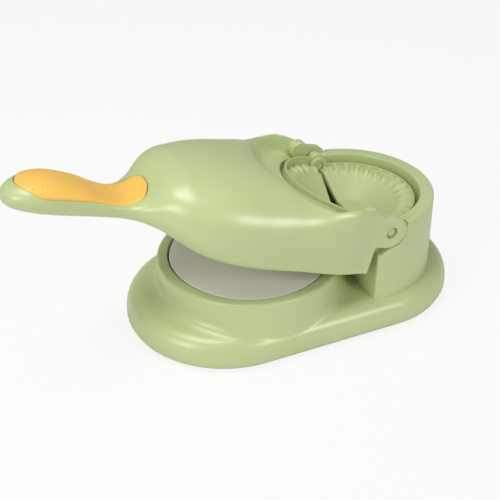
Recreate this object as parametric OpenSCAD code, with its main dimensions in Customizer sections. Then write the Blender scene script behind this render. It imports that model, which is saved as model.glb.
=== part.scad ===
// Hand press with a toothed folding mould in a tower behind the press.
// Origin: middle of the base, on the table. +X towards the mould tower, -X towards the handle, +Z up.
// The arm is drawn as it rests, raised above the closed position, and the front mould lies in it.

/* [Base] */
// Overall length of the base
base_length = 195; // [120:1:300]
// Overall width of the base
base_width = 112; // [80:1:180]
// Height of the rounded foot flange above its underside
flange_height = 17; // [10:0.5:26]
// How far the rounded shoulder of the flange reaches inwards
flange_round = 12; // [4:0.5:18]
// Height of that rounded shoulder
flange_rise = 13; // [4:0.5:16]
// Wall of the hollow base moulding
base_wall = 2.4; // [1.6:0.1:4]
// Height of the base moulding above the table
foot_height = 2; // [1:0.1:5]
// How far the flange tucks in at its foot, as a share of its shoulder
tuck_share = 0.125; // [0:0.025:0.4]
// Inner face of the flange wall, as a share of its shoulder
hollow_share = 0.6; // [0.4:0.05:1]

/* [Press station] */
// Distance of the press centre from the base centre, towards the handle
press_offset = 26.6; // [15:0.1:45]
// Outer radius of the press ring at its top
ring_radius = 52; // [35:0.5:60]
// Height of the top of the press ring above the table
ring_top = 36.8; // [25:0.2:50]
// How much wider the drum is at its foot than at its top, on the radius
drum_draft = 1.4; // [0:0.1:4]
// Reach of the hollow sweep where the drum meets the flange
drum_sweep = 8; // [3:0.5:30]
// Height of that hollow sweep above the flange
drum_sweep_high = 5; // [2:0.5:12]
// Radius of the white lower press plate
plate_radius = 45.3; // [30:0.1:50]
// Thickness of the lower press plate
plate_thick = 5.6; // [3:0.2:10]
// Depth of the plate face below the ring top
plate_sink = 1; // [0.4:0.1:3]
// Gap round the lower press plate
plate_gap = 0.4; // [0.2:0.1:1]

/* [Mould tower] */
// Distance of the tower centre and hinge line from the base centre
tower_offset = 36; // [25:0.1:50]
// Outer radius of the tower at its top
tower_radius = 48.5; // [38:0.5:56]
// Height of the tower top above the table
tower_top = 64; // [50:0.5:80]
// How much wider the tower is at its foot, on the radius
tower_draft = 1; // [0:0.1:3]
// Radius of the round mouth in the tower top
mouth_radius = 40.6; // [32:0.1:48]
// Depth of the thick mouth wall, down to the ledge
mouth_depth = 14; // [8:0.5:24]
// Width of the ledge that carries the rear mould
ledge_width = 2.6; // [1.5:0.1:5]
// Depth of the screw tabs below that ledge
tab_drop = 8; // [4:0.5:14]
// Thickness of the screw tabs
tab_thick = 3; // [2:0.1:5]
// Distance of the flat tower front ahead of the hinge line
tower_front = 7.5; // [5:0.1:12]
// Height of the low front wall of the tower
front_wall_top = 42; // [25:0.5:50]
// Bevel round the tower top and the press ring
edge_bevel = 0.9; // [0.3:0.1:2]

/* [Hinge] */
// Height of the hinge line above the table
hinge_height = 60; // [48:0.5:72]
// Radius of the hinge pins
pin_radius = 2.6; // [1.5:0.1:4]
// Running clearance of the pins in the moving lobes
pin_slip = 0.05; // [0.02:0.01:0.1]
// Radius of the arm ears round the pins
ear_radius = 9; // [7:0.5:12]
// Reach of the web that joins each ear to the side of the arm
ear_web = 4; // [2:0.5:8]
// Room in the cheeks behind each ear for its web
ear_relief = 0.9; // [0.6:0.1:3]
// Distance of the outer face of the ears from the middle
ear_face = 48.3; // [40:0.1:60]
// Thickness of each ear
ear_thick = 4; // [2:0.1:8]
// How far each pin ends below the face of its ear
pin_sink = 2; // [0.5:0.1:3]
// Radius of the sunk hole round each pin end
pin_well = 3.4; // [3:0.1:5]
// Radius of the tower lobes that carry the pins
lobe_radius = 6.2; // [5:0.1:9]
// Radius of the round stops inside the arm ears
stop_radius = 5; // [3:0.5:7]
// Distance of each stop ahead of the hinge line
stop_ahead = 11.5; // [9:0.5:16]
// Height of each stop above the hinge line
stop_rise = 8.2; // [6:0.2:14]
// Radius of the small lobes of the front mould
flap_lobe = 5.4; // [4:0.2:7]
// Thickness of the small lobes of the front mould
flap_lobe_thick = 3.4; // [2:0.1:5]
// Side gap between pieces that turn past each other
side_gap = 0.3; // [0.3:0.05:1]
// Angle that the arm is raised by at rest
rest_angle = 15; // [0:1:40]
// Angle that the front mould is raised by at rest
flap_angle = 20; // [5:1:45]

/* [Arm] */
// Distance from the hinge line to the tip of the handle
arm_length = 198; // [150:1:260]
// Share of the arm at which the handle begins
knee_share = 0.613; // [0.55:0.005:0.68]
// Reach of the broad part past the press ring
knee_margin = 6.8; // [2:0.1:15]
// Greatest width of the arm
arm_width = 104; // [80:1:140]
// Height of the crown above the hinge line
crown_height = 19; // [12:0.5:30]
// Depth of the rear skirt below the hinge line
skirt_depth = 25; // [18:0.5:34]
// Wall of the arm moulding
arm_wall = 2.4; // [1.6:0.1:4]
// Depth of the hollow towards the mould mouth
dish_depth = 12; // [0:0.5:14]
// Half width of the hollow, measured from the hinge centre
dish_reach = 56; // [46:1:64]
// Width of the slope round the hollow
dish_slope = 20; // [8:1:30]
// How much longer than wide the hollow is
dish_long_share = 1.25; // [1:0.05:1.5]
// Width of the raised lip along each side of the hollow
lip_top = 5; // [2:0.5:8]
// Width of the slope from the lip down into the hollow
lip_slope = 4; // [2:0.5:10]
// Radius of the round opening in the arm for the front mould
arm_mouth = 42.5; // [34:0.1:50]
// Margin of the hollow under the arm round the upper press plate
cavity_margin = 7.5; // [3:0.5:10]
// Thickness of the cover under the arm
cover_thick = 3; // [2:0.1:5]
// Depth of the underside of that cover below the hinge line
cover_depth = 18; // [14:0.5:24]
// Thickness of the upper press plate
upper_plate_thick = 3.4; // [2:0.1:6]
// Radius of the upper press plate
upper_plate_radius = 39; // [28:0.1:48]

/* [Grip] */
// Length of the soft grip insert on the handle
grip_length = 66; // [40:1:90]
// Distance of the front end of the insert from the handle tip
grip_start = 6; // [3:0.5:20]
// Greatest half width of the insert
grip_half = 13.6; // [6:0.1:14]
// Depth of the insert in the handle
grip_deep = 2.6; // [1.5:0.1:5]
// How far the insert stands proud
grip_proud = 0.4; // [0.1:0.1:1]
// Height of the lower edge of the insert above the waist of the handle
grip_edge = 0.6; // [0:0.1:3]
// Length of the pointed end of the insert, as a share of its length
grip_point_share = 0.3; // [0.1:0.05:0.5]
// Length of the round end of the insert, as a share of its length
grip_round_share = 0.16; // [0.05:0.01:0.4]
// Margin of the underside cover past the lower edge of the handle
handle_margin = 1; // [0.5:0.1:2]
// Gap round inserts, covers and moulds
fit_gap = 0.3; // [0.1:0.05:0.6]

/* [Moulds] */
// Outer radius of the rim of the front mould
front_rim = 40; // [30:0.1:48]
// Height of that rim above the hinge line
rim_rise = 4; // [2:0.5:8]
// Thickness of that rim
rim_thick = 1.4; // [1:0.1:3]
// Thickness of the rim of the rear mould
rear_rim_thick = 1; // [0.8:0.1:2]
// Outer radius of the rear mould
rear_rim = 38; // [28:0.1:46]
// Width of the toothed band inside the rims
band_width = 5.6; // [3:0.1:9]
// Thickness of the toothed band
band_thick = 3; // [2:0.1:5]
// Width of the edge between the band and the bowl
band_edge = 0.8; // [0:0.1:2]
// Height of the pressing teeth on the bands
tooth_height = 1.8; // [0.8:0.1:3]
// Room between a tooth and the edge of its band
tooth_margin = 0.4; // [0.2:0.1:1]
// Foot of a tooth, as a share of the pitch to each side
tooth_foot_share = 0.34; // [0.2:0.02:0.5]
// Crest of a tooth, as a share of the pitch to each side
tooth_crest_share = 0.1; // [0:0.02:0.2]
// Number of teeth on each half
tooth_count = 16; // [6:1:30]
// Depth of the bowl below the hinge line
bowl_depth = 12; // [6:0.5:18]
// Wall of the moulds
mould_wall = 2; // [1.2:0.1:3]
// Radius of the flat floor of the bowl
floor_radius = 12; // [4:0.5:20]

/* [Fasteners and feet] */
// Radius of the screw shanks
screw_radius = 1.5; // [1:0.1:2.5]
// Radius of the screw heads
screw_head = 2.9; // [2:0.1:5]
// Height of the screw heads
screw_head_high = 1.6; // [1:0.1:3]
// Wall round each screw boss
boss_wall = 2; // [1.2:0.1:3]
// Length of thread in the screw bosses
screw_bite = 6; // [4:0.5:12]
// Radius of the wide head of the press plate screw
wide_head = 7.5; // [5:0.1:10]
// Radius of the boss on the back of the upper press plate
plate_boss = 5; // [3:0.1:8]
// Radius of the corner feet
foot_radius = 8; // [4:0.5:14]
// Depth of the feet in the bottom cover
foot_sink = 0.8; // [0.3:0.1:2]
// Place of the corner feet along each round end, as a share of its radius
foot_along_share = 0.3; // [0:0.05:0.5]
// Place of the corner feet across each round end, as a share of its radius
foot_across_share = 0.5; // [0.3:0.05:0.6]
// Thickness of the bottom cover
bottom_thick = 2.2; // [1.5:0.1:4]

/* [Hidden] */
$fn = 96;
// Overlap of joined and cut shapes, thinnest edge of a section, and depth of a hidden lap
over = 1;
thin = 0.05;
lap = 0.2;
// Measures of the base, the press station and the mould tower
press_x = -press_offset;
hinge_x = tower_offset;
flange_radius = base_width / 2;
end_offset = base_length / 2 - flange_radius;
flange_top = foot_height + flange_height;
hollow_inset = flange_round * hollow_share + base_wall;
plate_floor = ring_top - plate_sink - plate_thick;
recess_radius = plate_radius + plate_gap;
front_x = hinge_x - tower_front;
ledge_top = tower_top - mouth_depth;
ear_inner = ear_face - ear_thick;
lobe_outer = ear_inner - side_gap;
lobe_inner = front_rim - rim_thick;
lobe_foot = 2 * lobe_radius / 3;
flap_outer = lobe_inner - side_gap;
flap_inner = flap_outer - flap_lobe_thick;
pin_outer = ear_face - pin_sink;
pin_inner = flap_inner + side_gap;
band_bottom = -tooth_height - band_thick;
ear_pocket = ear_radius + side_gap;
ear_swing = tower_front + 5 * side_gap;
stop_inner = lobe_outer - tower_front / 2;
bottom_z = foot_height;

body_green = [0.776, 0.835, 0.612];
plate_white = [0.93, 0.93, 0.91];
grip_yellow = [0.965, 0.77, 0.40];
steel_grey = [0.72, 0.73, 0.74];
rubber_grey = [0.30, 0.31, 0.29];

// Stations along the arm, as shares of its length, from the hinge line out to the tip
station_shares = [0.038, 0.07, 0.106, 0.141, 0.171, 0.206, 0.231, 0.266, 0.31,
                  0.362, 0.422, 0.482, 0.533, 0.573, 0.613, 0.653, 0.693, 0.744,
                  0.809, 0.884, 0.935, 0.975, 0.995, 1];
// Half width at the waist of each section, as shares of half the arm width
waist_half_shares = [0.93, 0.965, 0.99, 1, 1, 0.995, 0.99, 0.985, 0.975,
                     0.96, 0.93, 0.88, 0.805, 0.705, 0.55, 0.38, 0.285, 0.263,
                     0.28, 0.3, 0.27, 0.186, 0.088, 0.03];
// Half width along the lower edge, as shares of half the arm width
edge_half_shares = [0.93, 0.955, 0.975, 0.975, 0.972, 0.965, 0.958, 0.945, 0.925,
                    0.89, 0.825, 0.725, 0.618, 0.49, 0.343, 0.235, 0.167, 0.138,
                    0.138, 0.147, 0.128, 0.088, 0.044, 0.015];
// Height of the top, as shares of the crown height above the hinge line
top_shares = [0.6, 0.88, 0.925, 0.935, 0.9, 0.86, 0.84, 0.87, 0.955,
              1, 1, 0.96, 0.88, 0.76, 0.51, 0.14, -0.1, -0.13,
              0.08, 0.21, 0.16, -0.03, -0.2, -0.36];
// Height of the waist, as shares of the skirt depth below the hinge line
waist_shares = [0.85, 0.82, 0.8, 0.79, 0.77, 0.75, 0.73, 0.7, 0.66,
                0.62, 0.55, 0.47, 0.38, 0.3, 0.24, 0.2, 0.2, 0.2,
                0.17, 0.16, 0.19, 0.24, 0.28, 0.3];
// Depth of the lower edge, as shares of the skirt depth below the hinge line
edge_shares = [1, 0.99, 0.975, 0.96, 0.95, 0.935, 0.925, 0.905, 0.895,
               0.895, 0.89, 0.86, 0.79, 0.69, 0.56, 0.49, 0.46, 0.45,
               0.45, 0.47, 0.48, 0.45, 0.38, 0.31];
// Squareness of the upper part of each section
square_shares = [12, 9, 8, 8, 7.5, 6, 4.8, 3.8, 3.2,
                 2.8, 2.7, 2.6, 2.5, 2.4, 2.3, 2.2, 2.2, 2.2,
                 2.2, 2.2, 2.2, 2.2, 2.2, 2.2];

// Smooth curve through table places: slopes are taken from the neighbours
function cell_of(x, xs, i = 0) = (i >= len(xs) - 2 || x < xs[i + 1]) ? i : cell_of(x, xs, i + 1);
function slope_at(xs, ys, i) =
    let (a = max(0, i - 1), b = min(len(xs) - 1, i + 1)) (ys[b] - ys[a]) / (xs[b] - xs[a]);
function curve_at(x, xs, ys) =
    let (i = cell_of(x, xs), h = xs[i + 1] - xs[i], t = min(1, max(0, (x - xs[i]) / h)))
    (2 * t ^ 3 - 3 * t ^ 2 + 1) * ys[i] + (t ^ 3 - 2 * t ^ 2 + t) * h * slope_at(xs, ys, i)
    + (3 * t ^ 2 - 2 * t ^ 3) * ys[i + 1] + (t ^ 3 - t ^ 2) * h * slope_at(xs, ys, i + 1);

// Distance of a place s from the hinge line: the broad part follows the press, the handle takes the rest
knee_reach = hinge_x - press_x + ring_radius + knee_margin;
function arm_x(s) = s < knee_share ? knee_reach * s / knee_share
    : knee_reach + (arm_length - knee_reach) * (s - knee_share) / (1 - knee_share);
// Place in the broad part at a distance from the hinge line
function share_at(x) = knee_share * x / knee_reach;

// Heights and half widths of the arm at a place s along it, s being a share of its length
function waist_half(s) = arm_width / 2 * curve_at(s, station_shares, waist_half_shares);
function edge_half(s) = arm_width / 2 * curve_at(s, station_shares, edge_half_shares);
function top_z(s) = crown_height * curve_at(s, station_shares, top_shares);
function waist_z(s) = -skirt_depth * curve_at(s, station_shares, waist_shares);
function edge_z(s) = -skirt_depth * curve_at(s, station_shares, edge_shares);
function square_at(s) = curve_at(s, station_shares, square_shares);

// The hollow towards the mould mouth: it deepens along the arm and ends at a lip along each side
function ease(t) = let (u = min(1, max(0, t))) u ^ 2 * (3 - 2 * u);
function dish_at(x, y) =
    dish_depth * ease((dish_reach - sqrt((x / dish_long_share) ^ 2 + y ^ 2)) / dish_slope)
    * ease((arm_width / 2 - lip_top - abs(y)) / lip_slope);

// One section of the arm: the upper part is a rounded arch, the lower part tucks in to the edge
section_steps = 14;
tuck_steps = 4;
function section_half(s, inset, drop) =
    concat(
        [for (k = [0 : section_steps])
            let (a = 90 * k / section_steps, n = square_at(s),
                 y = max(thin, waist_half(s) - inset) * sin(a) ^ (2 / n),
                 z = waist_z(s) + max(thin, top_z(s) - inset - waist_z(s)) * cos(a) ^ (2 / n))
            [y, z - dish_at(-arm_x(s), y) * cos(a) ^ 0.2]],
        [for (k = [1 : tuck_steps])
            let (a = 90 * k / tuck_steps, w = waist_half(s), e = edge_half(s))
            [max(thin, e + (w - e) * cos(a) - inset),
             waist_z(s) + (edge_z(s) - drop - waist_z(s)) * sin(a)]]);
function section(s, inset, drop) =
    let (half = section_half(s, inset, drop), n = len(half))
    concat(half, [for (k = [n - 1 : -1 : 1]) [-half[k][0], half[k][1]]]);

// Skin through a row of sections. Its ends are fans of triangles from the two lower corners, as the
// upper line of a section is hollow
module loft(places, inset = 0, drop = 0) {
    rings = [for (s = places) [for (p = section(s, inset, drop)) [-arm_x(s), p[0], p[1]]]];
    n = len(rings[0]);
    m = len(rings);
    corner = section_steps + tuck_steps;
    fan = concat([for (k = [0 : corner - 2]) [corner, k, k + 1]], [[0, corner, corner + 1]],
        [for (k = [corner + 2 : n - 1]) [corner + 1, k, (k + 1) % n]]);
    polyhedron(
        points = [for (r = rings) each r],
        faces = concat(fan,
            [for (i = [0 : m - 2], k = [0 : n - 1])
                let (a = i * n + k, b = i * n + (k + 1) % n) [a, a + n, b + n, b]],
            [for (f = fan) [(m - 1) * n + f[2], (m - 1) * n + f[1], (m - 1) * n + f[0]]]));
}

function steps(from, to, count) = [for (i = [0 : count]) from + (to - from) * i / count];

// Moves a shape drawn about the hinge line to its place, raised by an angle
module at_hinge(angle) {
    translate([hinge_x, 0, hinge_height]) rotate([0, angle, 0]) children();
}

// A round bar along the hinge line between two distances from the middle, on one side
module hinge_bar(r, inner, outer, side) {
    translate([0, side > 0 ? inner : -outer, 0]) rotate([-90, 0, 0]) cylinder(r = r, h = outer - inner);
}

// Plan outline of the base, drawn in or out
module base_plan(inset = 0) {
    union() {
        for (side = [-1, 1]) translate([side * end_offset, 0]) circle(r = flange_radius - inset, $fn = 128);
        square([2 * end_offset, base_width - 2 * inset], center = true);
    }
}

// Half outline of the flange, from its axis to its bulged side
round_steps = 7;
function flange_side(inset) =
    concat([[0, bottom_z]], [[flange_radius - inset - flange_round * tuck_share, bottom_z]],
        [for (k = [0 : round_steps]) let (a = 90 * k / round_steps)
            [flange_radius - inset - flange_round * (1 - cos(a)), flange_top - flange_rise * (1 - sin(a))]],
        [[0, flange_top]]);

module flange() {
    for (side = [-1, 1]) translate([side * end_offset, 0, 0])
        rotate_extrude($fn = 128) polygon(flange_side(0));
    for (side = [0, 180]) rotate([0, 0, side]) translate([-end_offset, 0, 0]) rotate([90, 0, 90])
        linear_extrude(2 * end_offset) polygon(flange_side(0));
}

// Distance from the press centre to the edge of the base plan, drawn in, in a direction
function plan_reach(a, inset) =
    let (r = flange_radius - inset, side = cos(a) > 0 ? 1 : -1, c = side * end_offset - press_x,
         flat = abs(sin(a)) > 0.001 ? r / abs(sin(a)) : base_length,
         round_end = c * cos(a) + sqrt(max(0, r ^ 2 - (c * sin(a)) ^ 2)))
    abs(flat * cos(a) + press_x) <= end_offset ? flat : round_end;

// The hollow sweep from the flange up to the drum wall, drawn all round the press centre
sweep_steps = 7;
sweep_turn = 72;
sweep_angles = [for (k = [0 : sweep_turn - 1]) 360 * k / sweep_turn];
module sweep() {
    foot = ring_radius + drum_draft;
    rings = concat(
        [[for (a = sweep_angles) [plan_reach(a, flange_round), flange_top - over, a]]],
        [for (i = [0 : sweep_steps]) let (t = i / sweep_steps)
            [for (a = sweep_angles)
                let (out = min(plan_reach(a, flange_round * (1 - 0.3 * t)), foot + drum_sweep))
                [out < foot ? out : foot - t * drum_draft / 2 + (out - foot) * (1 - sin(90 * t)),
                 flange_top - lap / 10 + drum_sweep_high * (1 - cos(90 * t)), a]]],
        [[for (a = sweep_angles) [ring_radius / 2, flange_top + drum_sweep_high, a]]]);
    n = sweep_turn;
    m = len(rings);
    translate([press_x, 0, 0]) polyhedron(
        points = [for (r = rings, p = r) [p[0] * cos(p[2]), p[0] * sin(p[2]), p[1]]],
        faces = concat([[for (k = [0 : n - 1]) k]],
            [for (i = [0 : m - 2], k = [0 : n - 1])
                let (a = i * n + k, b = i * n + (k + 1) % n) [a, a + n, b + n, b]],
            [[for (k = [n - 1 : -1 : 0]) (m - 1) * n + k]]));
}

// The drum under the press ring
module drum() {
    translate([press_x, 0, 0]) rotate_extrude($fn = 128)
        polygon([[0, flange_top - over], [ring_radius + drum_draft, flange_top - over],
            [ring_radius, ring_top - edge_bevel], [ring_radius - edge_bevel, ring_top], [0, ring_top]]);
}

module tower() {
    intersection() {
        translate([hinge_x, 0, 0]) rotate_extrude($fn = 128)
            polygon([[0, bottom_z + over], [tower_radius + tower_draft, bottom_z + over],
                [tower_radius, tower_top - edge_bevel], [tower_radius - edge_bevel, tower_top],
                [0, tower_top]]);
        translate([front_x, -base_width, bottom_z])
            cube([base_length, 2 * base_width, tower_top]);
    }
}

// Places of the bosses that take the bottom screws
boss_radius = screw_radius + boss_wall;
press_share = share_at(hinge_x - press_x);
boss_side = min(ring_radius - 3 * boss_radius, flange_radius - hollow_inset - 1.4 * boss_radius);
boss_places = [[press_x - ring_radius + 3 * boss_radius, 0], [hinge_x + tower_radius - boss_radius / 2, 0],
    [press_x, boss_side], [press_x, -boss_side]];
cover_top = bottom_z + bottom_thick;

mould_screw_reach = rear_rim - band_width;
mould_screw_angles = [-55, 0, 55];
tab_top = ledge_top - tab_drop;

module base_shell() {
    color(body_green) difference() {
        union() {
            difference() {
                union() {
                    flange();
                    sweep();
                    drum();
                    tower();
                }
                // recess for the lower press plate
                translate([press_x, 0, plate_floor]) cylinder(r = recess_radius, h = ring_top);
                // hollow under the recess
                translate([press_x, 0, bottom_z - over])
                    cylinder(r = ring_radius - base_wall, h = plate_floor - base_wall - bottom_z + over);
                // hollow of the flange
                translate([0, 0, bottom_z - over])
                    linear_extrude(flange_height - base_wall + over) base_plan(hollow_inset);
                // mouth of the tower and the hollow under its ledge
                intersection() {
                    union() {
                        translate([hinge_x, 0, ledge_top])
                            cylinder(r = mouth_radius, h = tower_top, $fn = 128);
                        translate([hinge_x, 0, bottom_z - over])
                            cylinder(r = mouth_radius - ledge_width, h = tower_top, $fn = 128);
                        translate([hinge_x, 0, bottom_z - over]) cylinder(r = tower_radius - base_wall,
                            h = ledge_top - 2 * base_wall - bottom_z + over, $fn = 128);
                    }
                    translate([front_x + base_wall, -base_width, bottom_z - over])
                        cube([base_length, 2 * base_width, tower_top]);
                }
                // open front above the low wall, between the two cheeks
                translate([front_x - over, -mouth_radius, front_wall_top])
                    cube([tower_front + over, 2 * mouth_radius, tower_top]);
            }
            // lobes that carry the pins
            for (side = [-1, 1]) at_hinge(0) {
                hinge_bar(lobe_radius, lobe_inner, lobe_outer, side);
                translate([-lobe_foot, side > 0 ? lobe_inner : -lobe_outer, -lobe_radius])
                    cube([2 * lobe_foot, lobe_outer - lobe_inner, lobe_radius]);
            }
            // screw bosses for the bottom cover
            for (p = boss_places) translate([p[0], p[1], cover_top]) cylinder(r = boss_radius,
                h = (p[0] > 0 ? flange_top : plate_floor) - base_wall / 2 - cover_top, $fn = 32);
            // tabs that carry the rear mould
            for (a = mould_screw_angles) translate([hinge_x, 0, tab_top - tab_thick]) rotate([0, 0, a])
                translate([mould_screw_reach - 2 * boss_radius, -2 * boss_radius, 0])
                    cube([tower_radius - base_wall / 2 - mould_screw_reach + 2 * boss_radius,
                        4 * boss_radius, tab_thick]);
        }
        // pockets in the cheeks for the ears of the arm
        for (side = [-1, 1]) at_hinge(0) {
            hinge_bar(ear_pocket, lobe_outer, base_width, side);
            translate([-tower_front - over, side > 0 ? lobe_outer : -base_width, -ear_pocket])
                cube([tower_front + over, base_width - lobe_outer, 2 * ear_pocket]);
            // room for the web of the ear when the arm is thrown back
            translate([0, side > 0 ? lobe_outer : -base_width, 0])
                cube([ear_pocket + ear_relief, base_width - lobe_outer, tower_top]);
            hinge_bar(pin_radius, 0, base_width, side);
        }
        // pilot holes
        for (p = boss_places) translate([p[0], p[1], bottom_z])
            cylinder(r = screw_radius, h = flange_height - 1.5 * base_wall, $fn = 32);
        for (a = mould_screw_angles) translate([hinge_x, 0, tab_top - tab_thick - over]) rotate([0, 0, a])
            translate([mould_screw_reach, 0, 0])
                cylinder(r = screw_radius + fit_gap, h = tab_thick + 2 * over, $fn = 32);
    }
}

// Feet places and the bottom cover
foot_x = end_offset + flange_radius * foot_along_share;
foot_y = flange_radius * foot_across_share;
foot_places = [[-foot_x, foot_y], [-foot_x, -foot_y], [foot_x, foot_y], [foot_x, -foot_y]];

module bottom_cover() {
    color(body_green) difference() {
        translate([0, 0, bottom_z])
            linear_extrude(bottom_thick) base_plan(hollow_inset + fit_gap);
        for (p = concat(foot_places, [[0, 0]])) translate([p[0], p[1], bottom_z - over])
            cylinder(r = foot_radius, h = foot_sink + over, $fn = 48);
        for (p = boss_places) translate([p[0], p[1], bottom_z - over]) {
            cylinder(r = screw_radius + fit_gap, h = bottom_thick + 2 * over, $fn = 32);
            cylinder(r = screw_head + fit_gap, h = screw_head_high + over, $fn = 32);
        }
    }
}

module screw(length) {
    cylinder(r = screw_head, h = screw_head_high, $fn = 32);
    cylinder(r = screw_radius, h = screw_head_high + length, $fn = 32);
}

module bottom_cover_screws() {
    color(steel_grey) for (p = boss_places) translate([p[0], p[1], bottom_z])
        screw(flange_height - 3 * base_wall);
}

module foot(place) {
    color(rubber_grey) translate([place[0], place[1], 0])
        cylinder(r = foot_radius - fit_gap, h = foot_height + foot_sink, $fn = 48);
}

module lower_press_plate() {
    color(plate_white) translate([press_x, 0, plate_floor]) rotate_extrude($fn = 128)
        polygon([[0, 0], [plate_radius, 0], [plate_radius, plate_thick - edge_bevel],
            [plate_radius - edge_bevel, plate_thick], [0, plate_thick]]);
}

// Half bowl about the hinge centre: floor, sloping side, toothed band
module half_bowl(from, outer) {
    band_in = outer - band_width;
    rotate([0, 0, from]) rotate_extrude(angle = 180, $fn = 96)
        polygon([[0, -bowl_depth - mould_wall], [floor_radius, -bowl_depth - mould_wall],
            [band_in, band_bottom], [outer, band_bottom], [outer, -tooth_height],
            [band_in - band_edge, -tooth_height], [floor_radius, -bowl_depth], [0, -bowl_depth]]);
}

// Wedge teeth that crimp the edge, spread over one half
module teeth(from, outer) {
    turn = 180 / tooth_count;
    pitch = outer * sin(turn);
    for (k = [0 : tooth_count - 1]) rotate([0, 0, from + turn * (k + 0.5)])
        translate([outer - band_width + tooth_margin, 0, -tooth_height - lap]) rotate([90, 0, 90])
            linear_extrude(band_width - 2 * tooth_margin)
                polygon([[-pitch * tooth_foot_share, 0], [pitch * tooth_foot_share, 0],
                    [pitch * tooth_crest_share, tooth_height], [-pitch * tooth_crest_share, tooth_height]]);
}

module rear_mould() {
    color(body_green) difference() {
        union() {
            at_hinge(0) intersection() {
                union() {
                    half_bowl(-90, rear_rim);
                    teeth(-90, rear_rim);
                    // outer wall round the band
                    rotate([0, 0, -90]) rotate_extrude(angle = 180, $fn = 96)
                        translate([rear_rim - rear_rim_thick, ledge_top - hinge_height])
                            square([rear_rim_thick, hinge_height - ledge_top - fit_gap]);
                    // foot flange on the ledge
                    rotate([0, 0, -90]) rotate_extrude(angle = 180, $fn = 96)
                        translate([rear_rim - mould_wall, ledge_top - hinge_height])
                            square([mouth_radius - fit_gap - rear_rim + mould_wall, mould_wall]);
                }
                translate([side_gap, -base_width, -base_width])
                    cube([base_width, 2 * base_width, 2 * base_width]);
            }
            for (a = mould_screw_angles) translate([hinge_x, 0, tab_top]) rotate([0, 0, a])
                translate([mould_screw_reach, 0, 0])
                    cylinder(r = boss_radius, h = hinge_height + band_bottom + mould_wall - tab_top,
                        $fn = 32);
        }
        for (side = [-1, 1]) at_hinge(0)
            hinge_bar(flap_lobe + 2 * side_gap, flap_inner - side_gap, base_width, side);
        for (a = mould_screw_angles) translate([hinge_x, 0, tab_top - over]) rotate([0, 0, a])
            translate([mould_screw_reach, 0, 0])
                cylinder(r = screw_radius, h = over + screw_bite + over, $fn = 32);
    }
}

module rear_mould_screws() {
    color(steel_grey) for (a = mould_screw_angles)
        translate([hinge_x, 0, tab_top - tab_thick - screw_head_high]) rotate([0, 0, a])
            translate([mould_screw_reach, 0, 0]) screw(tab_thick + screw_bite);
}

module hinge_pin(side) {
    color(body_green) at_hinge(0) hinge_bar(pin_radius, pin_inner, pin_outer, side);
}

// Front mould, drawn level and then raised with the arm
module front_mould() {
    color(body_green) at_hinge(flap_angle) difference() {
        union() {
            intersection() {
                difference() {
                    union() {
                        half_bowl(90, lobe_inner);
                        teeth(90, lobe_inner);
                        rotate([0, 0, 90]) rotate_extrude(angle = 180, $fn = 96)
                            translate([lobe_inner - lap, band_bottom])
                                square([rim_thick + lap, rim_rise - band_bottom]);
                    }
                    for (side = [-1, 1]) hinge_bar(lobe_radius + 2 * side_gap, flap_outer, base_width, side);
                }
                translate([-base_width - side_gap, -base_width, -base_width])
                    cube([base_width, 2 * base_width, 2 * base_width]);
            }
            for (side = [-1, 1]) hinge_bar(flap_lobe, flap_inner, flap_outer, side);
        }
        for (side = [-1, 1]) hinge_bar(pin_radius + pin_slip, 0, base_width, side);
    }
}

// Outline of the soft grip, a leaf with a round inner end
grip_in = arm_length - grip_start - grip_length;
grip_side_share = 1 - grip_round_share;
function grip_width(t) =
    grip_half * min(1, t / grip_point_share) ^ 0.55 * (1 - 0.06 * ease(2 * (t - grip_point_share)))
    * sqrt(max(0, 1 - max(0, (t - grip_side_share) / grip_round_share) ^ 2));
grip_stations = concat([for (k = [0 : 7]) k / 40],
    [for (k = [0 : 9]) 0.2 + (grip_side_share - 0.2) * k / 10],
    [for (k = [0 : 10]) grip_side_share + grip_round_share * sin(9 * k)]);
module grip_plan(gap = 0) {
    outline = [for (t = grip_stations) [grip_length * t - grip_in - grip_length, grip_width(t)]];
    offset(delta = gap)
        polygon(concat(outline, [for (k = [len(outline) - 2 : -1 : 1]) [outline[k][0], -outline[k][1]]]));
}

handle_places = steps(0.62, 0.975, 18);

module arm_outer() {
    loft(concat(steps(share_at(tower_front + side_gap), 0.6, 26), steps(0.62, 0.96, 14),
        [0.97, 0.98, 0.988, 0.994, 0.998, 1]));
}

// Bar of changing width and height along the handle: each place gives half width, lower and upper height
module handle_bar(places, halves, lows, highs) {
    n = len(places);
    polyhedron(
        points = [for (i = [0 : n - 1], c = [[1, 1], [1, 0], [-1, 0], [-1, 1]])
            [-arm_x(places[i]), c[0] * halves[i], c[1] == 0 ? lows[i] : highs[i]]],
        faces = concat([[0, 1, 2, 3]],
            [for (i = [0 : n - 2], k = [0 : 3])
                let (a = 4 * i + k, b = 4 * i + (k + 1) % 4) [a, a + 4, b + 4, b]],
            [[4 * n - 1, 4 * n - 2, 4 * n - 3, 4 * n - 4]]));
}

// Stretch of the handle that is open below, under its cover
cover_shares = steps(0.705, 0.945, 12);
// Seat of the handle cover, following the lower edge of the handle
module handle_seat(gap) {
    handle_bar(cover_shares, [for (s = cover_shares) edge_half(s) + handle_margin - gap],
        [for (s = cover_shares) edge_z(s) - over], [for (s = cover_shares) edge_z(s) + arm_wall - gap]);
}

// Hollow of the handle above its cover
module handle_hollow() {
    handle_bar(cover_shares, [for (s = cover_shares) edge_half(s) - handle_margin],
        [for (s = cover_shares) edge_z(s) - over],
        [for (s = cover_shares) max(edge_z(s) + arm_wall, top_z(s) - grip_deep - arm_wall)]);
}

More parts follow.
